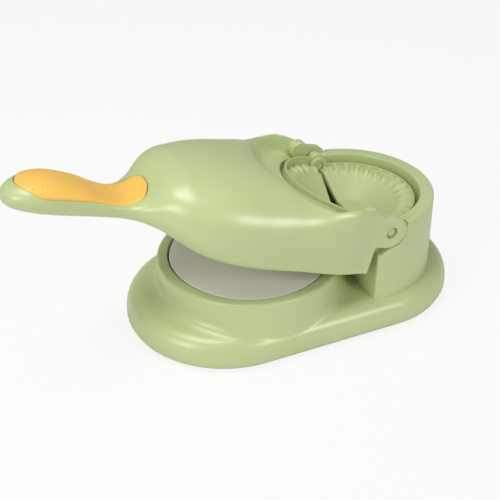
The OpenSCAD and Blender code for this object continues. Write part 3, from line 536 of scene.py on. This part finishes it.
u = np.concatenate([NEAR_ROWS, MIDDLE_ROWS, TIP_ROWS])[:, None]
q = np.radians(np.concatenate([np.linspace(0, 33, 20), np.linspace(34, 56, 67), np.linspace(57, 90, 20)]))
q = q[None, :]
x, y = settle(u, lambda s: arch(s, q)[0])
_, z, upper = arch(station(x), q)
z = z - dish(x, y) * upper
gap = np.minimum(np.sqrt(x ** 2 + y ** 2) - OPENING, -REAR - x)
fall = ROLL - np.sqrt(np.maximum(ROLL ** 2 - (ROLL - np.clip(gap, 0, ROLL)) ** 2, 0))
z = z - upper * np.where(gap < ROLL, fall, 0)
arch_half = np.stack([x, y, z], -1)

down = np.pi / 2 * np.linspace(0, 1, 13)[None, 1:]


def tuck_width(s):
    """Half width below the waist: edge + (waist - edge) cos a, where a runs from 0 to 90 degrees."""
    edge = half_width(s, EDGE_HALF)
    return np.maximum(LEAST, edge + (half_width(s, WAIST_HALF) - edge) * np.cos(down))


x, y = settle(u, tuck_width)
waist, edge = drop(station(x), WAIST), drop(station(x), EDGE)
tuck_half = np.stack([x, y, waist + (edge - waist) * np.sin(down)], -1)
outer = np.concatenate([arch_half, tuck_half], 1)
print("outer skin:", outer.shape)

# %% [markdown]
# Under the arm the skirt stands round a hollow, which the flat cover closes higher up. Its inner side uses
# the same rows: a ceiling just above the cover, and a wall down to the lower edge. The hollow follows the
# skirt, and is round over the press. Past the press the arm is solid, with a shallow recess under the handle.
# Outer and inner side together, joined along the lower edge and round the opening, are one closed skin.

# %% Inner side and the closed skin
ARM_WALL, CAVITY_R, CEILING = 2.4, 46.5, -14.9
CORE_HALF = 2.0
STRIP_NEAR, STRIP_FAR, STRIP_DEEP, STRIP_EDGE = -139.6, -187.1, 2.0, 1.2


def hollow_half(s):
    """Half width of the hollow: inside the skirt, and within the circle over the press."""
    over_press = CAVITY_R ** 2 - np.minimum(-ARM_L * s - (PRESS_X - HINGE[0]), 0) ** 2
    return np.minimum(half_width(s, EDGE_HALF) - ARM_WALL, np.sqrt(np.maximum(over_press, CORE_HALF ** 2)))


def strip_half(x):
    """Half width of the recess under the handle: 1.2 mm inside its lower edge, with round ends."""
    middle, reach = (STRIP_NEAR + STRIP_FAR) / 2, (STRIP_NEAR - STRIP_FAR) / 2
    inside = half_width(station(x), EDGE_HALF) - STRIP_EDGE
    return np.maximum(inside, 0) * np.sqrt(np.maximum(1 - np.abs((x - middle) / reach) ** 8, 0))


def under_arm(share):
    """x, y and lower edge of the inner side at a share of its half width, where it lies past the press, and
    the depth of the recess there."""
    x, y = settle(u, lambda s: hollow_half(s) * share)
    solid = CORE_HALF * np.minimum(1, half_width(station(x), EDGE_HALF) / (2 * CORE_HALF))
    past_press = -x > HINGE[0] - PRESS_X + CAVITY_R
    y = np.where(past_press, np.maximum(strip_half(x), solid) * share, y)
    recess = np.where((x > STRIP_FAR) & (x < STRIP_NEAR), STRIP_DEEP, 0)
    return x, y, drop(station(x), EDGE), past_press, recess


def both(half):
    """The half with its mirror image before it, meeting on the middle line."""
    return np.concatenate([half[:, :0:-1] * [1, -1, 1], half], 1)


x, y, edge, past_press, recess = under_arm(np.linspace(0, 1, 61)[None, :])
ceiling = np.stack([x, y, np.where(past_press, edge + recess, CEILING)], -1)
t = np.linspace(0, 1, 13)[None, 1:]
x, y, edge, past_press, recess = under_arm(np.ones_like(t))
wall = np.stack([x, y, np.where(past_press, edge + recess * (1 - t), CEILING + (edge - CEILING) * t)], -1)
outer, inner = both(outer), both(np.concatenate([ceiling, wall], 1))
ring = np.concatenate([outer, inner[:, ::-1]], 1)
points, faces = sheet(raised(ring, ARM_LIFT), round_columns=True)
columns, half = ring.shape[1], outer.shape[1]
for row in (0, len(ring) - 1):
    k = row * columns + np.arange(half)
    mirror = row * columns + columns - 1 - np.arange(half)
    faces += np.stack([k[:-1], k[1:], mirror[1:], mirror[:-1]], -1).tolist()
arm_shell = (points, faces)
print("arm skin points:", len(points))

# %% [markdown]
# Each ear is a flat plate with a round end about the pin, flush with the side of the arm. It is drawn as
# rings about the pin: the floor and wall of the sunk hole, the face out to the outline, and the back. The
# outline is a circle on the tower's side of the pin, and on the other side a web that runs into the arm.
# A round stop stands inside each ear.

# %% Ears and stops
EAR_R, EAR_FACE, EAR_BACK, EAR_EDGE = 9.0, 48.4, 44.3, 0.5
HOLE_R, HOLE_FLOOR = 3.4, 45.9
WEB_END, WEB_TOP = -14.0, 9.6
STOP_R, STOP_X, STOP_Z, STOP_IN, STOP_OUT, STOP_ROUND = 5.7, -12.7, 6.7, 40.4, 46.0, 0.9

turn = np.linspace(0, 2 * np.pi, 144, endpoint=False)
up, ahead = np.sin(turn), np.cos(turn)
web = rounded([[0.0, EAR_R], [-6.0, EAR_R], [-8.5, WEB_TOP], [WEB_END, WEB_TOP], [WEB_END, -EAR_R],
               [0.0, -EAR_R]], [1.2, 1.2, 0, 0], 6)
web = np.concatenate([web[:-1] + (web[1:] - web[:-1]) * k for k in (0, 0.25, 0.5, 0.75)] + [web[-1:]])
web_turn = np.arctan2(web[:, 1], web[:, 0]) % (2 * np.pi)
order = np.argsort(web_turn)
web_reach = np.interp(turn, web_turn[order], np.hypot(web[:, 0], web[:, 1])[order])
outline = np.where(ahead > 0, EAR_R, web_reach)
rings = [(0, HOLE_FLOOR), (HOLE_R - 0.1, HOLE_FLOOR), (HOLE_R, HOLE_FLOOR + 0.2), (HOLE_R, EAR_FACE - 0.3),
         (HOLE_R + 0.1, EAR_FACE - 0.1), (HOLE_R + 0.35, EAR_FACE), (outline - EAR_EDGE, EAR_FACE),
         (outline - 0.15, EAR_FACE - 0.15), (outline, EAR_FACE - EAR_EDGE), (outline, EAR_BACK + 0.2),
         (outline - 0.2, EAR_BACK), (0, EAR_BACK)]
stop = rounded(rectangle(0, STOP_R, STOP_IN, STOP_OUT), [STOP_ROUND, 0], 6)
angle = turn[None, ::3]
ears = []
for side in (-1, 1):
    ear = np.stack([np.stack([r * ahead, side * y + 0 * turn, r * up], -1) for r, y in rings])
    bar = np.stack([stop[:, :1] * np.cos(angle) + STOP_X, side * stop[:, 1:] + 0 * angle,
                    stop[:, :1] * np.sin(angle) + STOP_Z], -1)
    ears += [sheet(raised(grid, ARM_LIFT), round_columns=True) for grid in (ear, bar)]
arm_skin = piece("arm_skin", [arm_shell] + ears, crease=32)
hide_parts("arm_shell")
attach(arm_skin, "arm")
print("arm faces:", len(arm_skin.data.polygons))

# %% [markdown]
# ## The soft grip
# A leaf-shaped insert lies in a shallow pocket in the top of the handle, pointed at the tip and round at its
# inner end. One outline serves both: the pocket is cut a little wider and deeper than the insert, so that a
# fine dark seam shows all round. The surface of the insert is the handle's own surface, a little proud, and
# drops along its edge. Small raised dots run along it in three rows, and four dimples lie near the tip.

# %% Grip outline
GRIP_FAR, GRIP_TURN, GRIP_NEAR = -192.0, -130.8, -125.6
GRIP_X = np.array([-189.6, -187.4, -183.3, -178.8, -172.0, -165.5, -158.8, -152.0, -146.8, -141.0, -135.0,
                   GRIP_TURN])
GRIP_Y = np.array([7.6, 10.3, 13.3, 14.7, 14.9, 14.4, 13.8, 12.8, 12.3, 12.1, 12.0, 11.9])
GRIP_EDGE = 0.9


def grip_half(x, wider=0.0):
    """Half width of the leaf: a power 0.6 at the tip, a smooth curve through its middle, and at the inner end
    h sqrt(1 - t^2). The whole outline is moved outwards by the amount asked for."""
    tip = GRIP_Y[0] * (np.maximum(x - GRIP_FAR + wider, 0) / (GRIP_X[0] - GRIP_FAR + wider)) ** 0.6
    t = np.maximum(x - GRIP_TURN, 0) / (GRIP_NEAR - GRIP_TURN + wider)
    round_end = np.sqrt(np.maximum(1 - t ** 2, 0))
    side = np.where(x < GRIP_X[0], tip, through(GRIP_X, GRIP_Y, x))
    return side * round_end + wider * round_end * np.minimum(tip, 1)


def handle_top(x, y):
    """Height of the handle's upper surface over (x, y): waist + rise (1 - |y / W|^n)^(1/n)."""
    s = station(x)
    n = through(STATION, SQUARE, s)
    waist = drop(s, WAIST)
    share = np.clip(np.abs(y) / half_width(s, WAIST_HALF), 0, 0.995)
    return waist + (crown(s) - waist) * (1 - share ** n) ** (1 / n)


print("grip from", GRIP_FAR, "to", GRIP_NEAR, "half width", GRIP_Y.max())

# %% Dots and dimples
DOT_R, DOT_HIGH, DOT_X, DOT_Y = 0.7, 0.32, -175.0, 2.4
DOT_STEP, ROW_STEP = 2.9, 2.8
DOTS_FAR, DOTS_NEAR, DOTS_IN = -176.5, -130.0, 1.6
DIMPLES = [(-184.7, -9.9, 1.0), (-182.3, -9.2, 0.8), (-179.9, -8.8, 0.65), (-177.4, -8.5, 0.5)]


def dots(x, y):
    """Height of the raised dots and the dimples: three rows of domes h (1 - d^2 / r^2), 2.9 mm apart and
    moved by half a step in the middle row, and four shrinking hollows -r exp(-2 d^2 / r^2) / 2."""
    row = np.clip(np.round((y - DOT_Y) / ROW_STEP), 0, 2)
    place = (x - DOT_X) / DOT_STEP - 0.5 * (row % 2)
    d2 = (DOT_STEP * (place - np.round(place))) ** 2 + (y - DOT_Y - ROW_STEP * row) ** 2
    on_leaf = (x > DOTS_FAR) & (x < DOTS_NEAR) & (grip_half(x) - np.abs(y) > DOTS_IN)
    height = np.where(on_leaf, DOT_HIGH * np.maximum(0, 1 - d2 / DOT_R ** 2), 0)
    for centre_x, centre_y, r in DIMPLES:
        height = height - 0.5 * r * np.exp(-2 * ((x - centre_x) ** 2 + (y - centre_y) ** 2) / r ** 2)
    return height


def leaf(wider, above, below, edge_drop=0.0, relief=0.0, rows=120, columns=61):
    """Closed leaf between two copies of the handle's top, one above it and one below it. At a distance d
    from the outline the upper one drops by edge_drop (1 - d / 0.9)^2, up to 0.9 mm in, and it carries the
    dots where relief is 1."""
    t = 0.5 - 0.5 * np.cos(np.pi * np.linspace(0, 1, rows))[:, None]
    v = np.sin(np.pi / 2 * np.linspace(-1, 1, columns))[None, :]
    x = GRIP_FAR - wider + (GRIP_NEAR - GRIP_FAR + 2 * wider) * t + 0 * v
    half = np.maximum(grip_half(x, wider), 0.02)
    y = v * half
    to_end = np.minimum(GRIP_NEAR + wider - x, 0.5 * (x - GRIP_FAR + wider))
    inside = np.minimum(half - np.abs(y), to_end) / GRIP_EDGE
    z = handle_top(x, y)
    lift = above - edge_drop * np.maximum(0, 1 - inside) ** 2 + relief * dots(x, y)
    loop = np.concatenate([np.stack([x, y, z + lift], -1), np.stack([x, y, z - below], -1)[:, ::-1]], 1)
    return capped(raised(loop, ARM_LIFT))


print("dots every", DOT_STEP, "mm,", len(DIMPLES), "dimples")

# %% The pocket and the insert
cut(arm_skin, [piece("pocket", [leaf(wider=0.25, above=4.0, below=1.9)])], crease=32)
insert = leaf(wider=-0.2, above=0.4, below=1.8, edge_drop=0.9, relief=1.0, rows=300, columns=131)
grip = piece("grip_skin", [insert], crease=50)
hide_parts("grip_insert")
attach(grip, "arm")
print("grip faces:", len(grip.data.polygons), "arm faces:", len(arm_skin.data.polygons))

# %% [markdown]
# The strip under the handle lies in its recess with a narrow gap all round. Its lower side is level with
# the edge of the handle.

# %% Handle strip
STRIP_END_GAP, STRIP_GAP, STRIP_ROUND = 0.3, 0.25, 0.25

x = np.linspace(STRIP_FAR + STRIP_END_GAP, STRIP_NEAR - STRIP_END_GAP, 90)[:, None]
across = np.linspace(-1, 1, 33)[None, :]
half = np.maximum(strip_half(x) - STRIP_GAP, 0.1)
low_side = np.stack([x + 0 * across, half * across, drop(-x / ARM_L, EDGE) + STRIP_ROUND * across ** 12], -1)
strip = np.concatenate([low_side, (low_side + [0, 0, STRIP_DEEP - 0.1])[:, ::-1]], 1)
handle_strip = piece("handle_strip_skin", [capped(raised(strip, ARM_LIFT))], crease=40)
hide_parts("handle_underside_cover")
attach(handle_strip, "arm")
print("strip faces:", len(handle_strip.data.polygons))

# %% [markdown]
# ## The two halves of the mould
# Each half is a half bowl about the hinge centre with a toothed band round its edge. Its profile is carried
# round through half a turn. The cut side stays 0.3 mm away from the hinge line, so the angle at which a row
# starts depends on its radius. The teeth are a change of height on the band: full in the middle of a tooth,
# none between two teeth, and fading out down the slope of the bowl.

# %% Half a bowl with teeth
TEETH, TOOTH_HIGH, TOOTH_START, TOOTH_RUN, TOOTH_FLAT, TOOTH_SIDE = 16, 1.6, 10.0, 5.5, 0.1, 0.22
HALF_GAP = 0.3
BOWL, BOWL_R, BOWL_UNDER = -12.0, 12.0, -14.0
BAND, BAND_WIDE, BAND_UNDER = -1.8, 6.2, -4.8


def teeth(r, angle, rim):
    """Height of the teeth: 1.6 e((r - rim + 10) / 5.5) (1 - e((d - 0.1) / 0.22)), where e eases from 0 to 1
    and d is the distance from the middle of the tooth as a share of the pitch."""
    d = np.abs((angle / np.pi * TEETH) % 1 - 0.5)
    fade = ease((r - rim + TOOTH_START) / TOOTH_RUN)
    return TOOTH_HIGH * fade * (1 - ease((d - TOOTH_FLAT) / TOOTH_SIDE))


def bowl(inside):
    """Upper profile (r, z) of a half: flat floor, slope, and the level band up to its wall."""
    floor = np.column_stack([np.linspace(HALF_GAP, BOWL_R, 8), np.full(8, BOWL)])
    slope = np.column_stack([np.linspace(BOWL_R + 1.5, inside - BAND_WIDE - 0.3, 24),
                             np.linspace(BOWL + 0.78, BAND - 0.05, 24)])
    band = np.column_stack([np.linspace(inside - BAND_WIDE, inside - 0.05, 16), np.full(16, BAND)])
    return np.concatenate([floor, slope, band])


def half_mould(inside, wall, lower, forward, columns=577):
    """Carries the profile through a half turn: at radius r the angle runs from asin(gap / r) to pi minus
    that, so that the cut side is flat. The teeth lift the upper side inside the wall."""
    upper = np.concatenate([bowl(inside), wall])
    profile = np.concatenate([upper, lower])
    r = profile[:, :1]
    off = np.arcsin(np.clip(HALF_GAP / r, 0, 1))
    angle = off + (np.pi - 2 * off) * np.linspace(0, 1, columns)[None, :]
    toothed = (np.arange(len(profile)) < len(upper))[:, None] & (r < inside - 0.02)
    z = profile[:, 1:] + np.where(toothed, teeth(r, angle, inside), 0)
    x = r * np.sin(angle) * (-1 if forward else 1)
    points, faces = sheet(np.stack([x, r * np.cos(angle), z], -1), round_rows=True)
    cut_side = np.arange(len(profile)) * columns
    return points, faces + [cut_side.tolist(), (cut_side + columns - 1).tolist()]


print("mould helper ready")

# %% [markdown]
# The front half has a wall that rises 4 mm above the hinge line, and small eyes for the pins. It lies raised
# by 20 degrees. Room for the lobes of the tower is cut out of the wall.

# %% Front half
FRONT_RIM, FRONT_WALL, FRONT_TOP, FRONT_ROUND = 40.0, 1.4, 4.0, 0.65
FRONT_FOOT, FRONT_UNDER_R = -4.6, 33.0
EYE_R, EYE_BORE, EYE_IN, EYE_OUT, EYE_EDGE = 5.4, 2.8, 34.9, 38.3, 0.35
LOBE_ROOM, PIN_ROOM = (6.8, EYE_OUT), (2.9, 30.0)


def hinge_eye(inner, outer):
    """Short round bar along the hinge line with a bore: a closed profile turned about that line."""
    loop = np.array([[EYE_BORE, inner], [EYE_R - EYE_EDGE, inner], [EYE_R, inner + EYE_EDGE],
                     [EYE_R, outer - EYE_EDGE], [EYE_R - EYE_EDGE, outer], [EYE_BORE, outer]])
    return barrel(loop, hollow=True)


inside = FRONT_RIM - FRONT_WALL
wall = rounded([[inside, BAND], [inside, FRONT_TOP], [FRONT_RIM, FRONT_TOP], [FRONT_RIM, FRONT_FOOT]],
               [FRONT_ROUND, FRONT_ROUND], 8)
lower = np.array([[FRONT_RIM - 0.2, BAND_UNDER], [FRONT_UNDER_R, BAND_UNDER], [BOWL_R, BOWL_UNDER],
                  [HALF_GAP, BOWL_UNDER]])
points, faces = half_mould(inside, wall, lower, forward=True)
front_skin = piece("front_mould_skin", [(raised(points, FRONT_LIFT), faces)], crease=40)
cut(front_skin, hinge_cutters([LOBE_ROOM, PIN_ROOM]), crease=40)
eyes = piece("eyes", [hinge_eye(EYE_IN, EYE_OUT), hinge_eye(-EYE_OUT, -EYE_IN)])
join(front_skin, eyes, crease=40)
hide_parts("front_mould")
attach(front_skin, "front_mould")
print("front mould faces:", len(front_skin.data.polygons))

# %% [markdown]
# The rear half stays level in the mouth of the tower. Its thin wall ends just below the hinge line, its foot
# flange rests on the ledge of the mouth, and three posts below take the screws.

# %% Rear half
REAR_RIM, REAR_WALL, REAR_TOP, REAR_ROUND = 38.0, 1.0, -0.3, 0.4
LEDGE, LEDGE_R, LEDGE_THICK, LEDGE_IN = -10.0, 40.3, 2.0, 36.0
REAR_UNDER_R = 32.4
POST_R, POST_AT, POST_TOP, POST_TURNS = 3.2, 32.4, -4.0, (-55, 0, 55)
EYE_ROOM = (6.0, 34.6)

inside = REAR_RIM - REAR_WALL
wall = rounded([[inside, BAND], [inside, REAR_TOP], [REAR_RIM, REAR_TOP], [REAR_RIM, LEDGE + LEDGE_THICK],
                [LEDGE_R, LEDGE + LEDGE_THICK], [LEDGE_R, LEDGE]], [REAR_ROUND, REAR_ROUND, 0, REAR_ROUND], 6)
lower = np.array([[LEDGE_IN, LEDGE], [LEDGE_IN, BAND_UNDER], [REAR_UNDER_R, BAND_UNDER],
                  [BOWL_R, BOWL_UNDER], [HALF_GAP, BOWL_UNDER]])
points, faces = half_mould(inside, wall, lower, forward=False)
rear_skin = piece("rear_mould_skin", [(points + HINGE, faces)], crease=40)
cut(rear_skin, hinge_cutters([EYE_ROOM]), crease=40)
post_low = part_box("rear_mould")[0][2] / MM + 0.2
post = rounded(rectangle(0, POST_R, post_low, HINGE[2] + POST_TOP), [0.3, 0])
centres = [HINGE[:2] + POST_AT * np.array([math.cos(a), math.sin(a)]) for a in np.radians(POST_TURNS)]
join(rear_skin, piece("posts", [spun(post, centre, 48) for centre in centres]), crease=40)
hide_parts("rear_mould")
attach(rear_skin, "base")
print("rear mould faces:", len(rear_skin.data.polygons))

# %% [markdown]
# ## Pins and plates
# The pins end in a shallow dome inside the sunk hole of each ear. The lower press plate is a flat disc with a
# softly rounded rim. Both are profiles turned about their own line.

# %% Pins
PIN_R, PIN_NECK, PIN_DOME, PIN_PAST = 2.6, 2.3, 0.45, 1.2

for side, name in ((1, "left"), (-1, "right")):
    low, high = np.array(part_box("hinge_pin_" + name)) / MM
    start, end = sorted([abs(low[1]), abs(high[1])])
    end = end + PIN_PAST
    t = np.radians(np.linspace(0, 90, 9))
    dome = np.column_stack([PIN_NECK * np.cos(t), end - PIN_DOME + PIN_DOME * np.sin(t)])
    shank = [[0, start], [PIN_NECK, start], [PIN_R, start + 0.3], [PIN_R, end - 0.7]]
    pin = piece("hinge_pin_skin_" + name, [barrel(np.concatenate([shank, dome]) * [1, side])], crease=45)
    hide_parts("hinge_pin_" + name)
    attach(pin, "base")
print("pins ready, radius", PIN_R)

# %% Lower press plate
PLATE_RISE = 0.6

low, high = np.array(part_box("lower_press_plate")) / MM
plate_r = (high[0] - low[0]) / 2
plate_top = high[2] + PLATE_RISE
disc = rounded(rectangle(0, plate_r, low[2], plate_top), [0.4, 0.7], 8)
lower_plate = piece("lower_plate_skin", [spun(disc, ((low[0] + high[0]) / 2, 0), 256)], crease=50)
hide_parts("lower_press_plate")
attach(lower_plate, "base")
print("plate radius", round(plate_r, 2), "top at", round(plate_top, 2))

# %% [markdown]
# ## Finishes
# The green plastic is satin: an even colour with a barely seen cloud in it, a fine moulded grain and a gloss
# that varies slightly. All patterns read Object coordinates, so they stay with the piece.

# %% Material helpers
CLOUD, CLOUD_RAMP, WANDER = 14.0, (0.3, 0.7), 60.0


def linear(r, g, b):
    """Colour from its usual 0 to 255 numbers: ((c + 0.055) / 1.055)^2.4, or c / 12.92 when dark."""
    c = np.array([r, g, b]) / 255
    c = np.where(c > 0.04045, ((c + 0.055) / 1.055) ** 2.4, c / 12.92)
    return (float(c[0]), float(c[1]), float(c[2]), 1.0)


def noise(nodes, links, place, scale, detail):
    """Noise texture on Object coordinates; scale counts its features over one metre."""
    texture = nodes.new("ShaderNodeTexNoise")
    texture.inputs["Scale"].default_value = scale
    texture.inputs["Detail"].default_value = detail
    links.new(place.outputs["Object"], texture.inputs["Vector"])
    return texture.outputs["Fac"]


def moulded(name, dark, light, gloss, grain, grain_depth, specular=0.5, metallic=0.0):
    """Moulded plastic or plain metal: a cloud of two close colours, a roughness that wanders by a little, and
    a fine grain, so many to the metre and so many metres deep."""
    material = bpy.data.materials.new(name)
    material.use_nodes = True
    nodes, links = material.node_tree.nodes, material.node_tree.links
    shader = nodes["Principled BSDF"]
    shader.inputs["Specular IOR Level"].default_value = specular
    shader.inputs["Metallic"].default_value = metallic
    place = nodes.new("ShaderNodeTexCoord")
    tint = nodes.new("ShaderNodeValToRGB")
    for element, at, colour in zip(tint.color_ramp.elements, CLOUD_RAMP, (dark, light)):
        element.position, element.color = at, linear(*colour)
    links.new(noise(nodes, links, place, CLOUD, 3.0), tint.inputs["Fac"])
    links.new(tint.outputs["Color"], shader.inputs["Base Color"])
    wander = nodes.new("ShaderNodeMapRange")
    wander.inputs["To Min"].default_value, wander.inputs["To Max"].default_value = gloss
    links.new(noise(nodes, links, place, WANDER, 4.0), wander.inputs["Value"])
    links.new(wander.outputs["Result"], shader.inputs["Roughness"])
    bump = nodes.new("ShaderNodeBump")
    bump.inputs["Strength"].default_value = 1.0
    bump.inputs["Distance"].default_value = grain_depth
    links.new(noise(nodes, links, place, grain, 2.0), bump.inputs["Height"])
    links.new(bump.outputs["Normal"], shader.inputs["Normal"])
    return material


print("material helpers ready")

# %% [markdown]
# Each finish of the product: green for the body, the same green a little darker in the moulds, off-white
# plates, a soft yellow grip, plain steel and black rubber.

# %% The finishes
body_green = moulded("body_green", (190, 205, 146), (197, 211, 152), (0.28, 0.35), 1800.0, 0.000005,
                     specular=0.75)
mould_green = moulded("mould_green", (186, 199, 141), (193, 205, 147), (0.34, 0.44), 1800.0, 0.000008)
plate_white = moulded("plate_white", (226, 224, 212), (234, 232, 222), (0.3, 0.42), 1500.0, 0.000008)
grip_yellow = moulded("grip_yellow", (250, 197, 92), (254, 205, 98), (0.32, 0.42), 1400.0, 0.00001)
foot_black = moulded("foot_black", (38, 38, 37), (52, 52, 50), (0.6, 0.78), 900.0, 0.00004)
screw_steel = moulded("screw_steel", (168, 169, 170), (190, 191, 192), (0.24, 0.38), 2600.0, 0.000006,
                      metallic=1.0)

finish_of = {"base_skin": body_green, "arm_skin": body_green, "grip_skin": grip_yellow,
             "front_mould_skin": mould_green, "rear_mould_skin": mould_green,
             "hinge_pin_skin_left": body_green, "hinge_pin_skin_right": body_green,
             "lower_plate_skin": plate_white, "handle_strip_skin": body_green}
for name, material in finish_of.items():
    thing = bpy.data.objects[name]
    thing.data.materials.clear()
    thing.data.materials.append(material)
kept = {"bottom_cover": body_green, "arm_underside_cover": body_green, "upper_press_plate": plate_white,
        "bottom_cover_screws": screw_steel, "arm_cover_screws": screw_steel,
        "press_plate_screw": screw_steel, "rear_mould_screws": screw_steel, "centre_foot": foot_black,
        "foot_handle_left": foot_black, "foot_handle_right": foot_black, "foot_tower_left": foot_black,
        "foot_tower_right": foot_black}
for name, material in kept.items():
    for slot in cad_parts[name].material_slots:
        slot.material = material
print("finishes given:", len(finish_of), "new pieces,", len(kept), "kept nodes")

# %% [markdown]
# ## Floor, light and camera
# The floor is plain and pale. To the camera it is mostly an even glow, so its shadows stay faint. Three
# broad lamps and an even world light the part softly, at a level where a colour looks as it is written. The
# camera stands above the handle side and looks down along the arm. All places here are in metres.

# %% Floor
FLOOR_HALF, FLOOR_GLOW = 25.0, 0.86

corners = level(rectangle(-FLOOR_HALF, FLOOR_HALF, -FLOOR_HALF, FLOOR_HALF), 0.0)
floor_mesh = bpy.data.meshes.new("floor")
floor_mesh.from_pydata(corners, [], [(0, 1, 2, 3)])
floor = bpy.data.objects.new("floor", floor_mesh)
bpy.context.scene.collection.objects.link(floor)
paper = bpy.data.materials.new("studio_floor")
paper.use_nodes = True
nodes, links = paper.node_tree.nodes, paper.node_tree.links
nodes.clear()
output = nodes.new("ShaderNodeOutputMaterial")
matt = nodes.new("ShaderNodeBsdfDiffuse")
matt.inputs["Color"].default_value = (0.86, 0.86, 0.85, 1)
glow = nodes.new("ShaderNodeEmission")
glow.inputs["Color"].default_value = (1, 1, 1, 1)
glow.inputs["Strength"].default_value = 1.0
path = nodes.new("ShaderNodeLightPath")
seen = nodes.new("ShaderNodeMath")
seen.operation = "MULTIPLY"
seen.inputs[1].default_value = FLOOR_GLOW
links.new(path.outputs["Is Camera Ray"], seen.inputs[0])
mix = nodes.new("ShaderNodeMixShader")
links.new(seen.outputs["Value"], mix.inputs["Fac"])
links.new(matt.outputs["BSDF"], mix.inputs[1])
links.new(glow.outputs["Emission"], mix.inputs[2])
links.new(mix.outputs["Shader"], output.inputs["Surface"])
floor.data.materials.append(paper)
print("floor ready")

# %% Light
WORLD_LIGHT = 0.26

world = bpy.data.worlds.new("studio")
bpy.context.scene.world = world
world.use_nodes = True
sky = world.node_tree.nodes["Background"]
sky.inputs["Color"].default_value = (1.0, 1.0, 1.0, 1)
sky.inputs["Strength"].default_value = WORLD_LIGHT


def facing(away):
    """Rotation whose local z axis points away and whose x axis is level."""
    z = np.asarray(away, float) / np.linalg.norm(away)
    x = np.cross([0, 0, 1], z)
    x = x / np.linalg.norm(x)
    turn = Matrix.Identity(4)
    for column, axis in enumerate((x, np.cross(z, x), z)):
        for row in range(3):
            turn[row][column] = float(axis[row])
    return turn


def lamp(name, place, aim, size, power):
    """Square area lamp at a place, turned to face the aim."""
    data = bpy.data.lights.new(name, "AREA")
    data.shape, data.size, data.energy = "SQUARE", size, power
    thing = bpy.data.objects.new(name, data)
    bpy.context.scene.collection.objects.link(thing)
    thing.matrix_world = Matrix.Translation(place) @ facing(np.array(place) - np.array(aim))


lamp("key", place=(-0.3, 0.0, 1.05), aim=(0, 0, 0.03), size=0.55, power=5.8)
lamp("side", place=(0.42, -0.97, 0.66), aim=(0, 0, 0.04), size=0.34, power=3.8)
lamp("left", place=(-0.95, -0.35, 0.5), aim=(0, 0, 0.04), size=0.4, power=3.1)
print("lamps:", len(bpy.data.lights))

# %% Camera
CAMERA_AT = (-0.20309, -0.39146, 0.32028)
CAMERA_BACK = (-0.34427, -0.76090, 0.55001)

camera_data = bpy.data.cameras.new("camera")
camera = bpy.data.objects.new("camera", camera_data)
bpy.context.scene.collection.objects.link(camera)
camera_data.lens, camera_data.sensor_width = 65.4, 36.0
camera_data.clip_start, camera_data.clip_end = 0.01, 20.0
camera.matrix_world = Matrix.Translation(CAMERA_AT) @ facing(CAMERA_BACK)
bpy.context.scene.camera = camera
bpy.context.scene.view_settings.view_transform = "Standard"
print("camera at", tuple(round(v, 3) for v in camera.location))
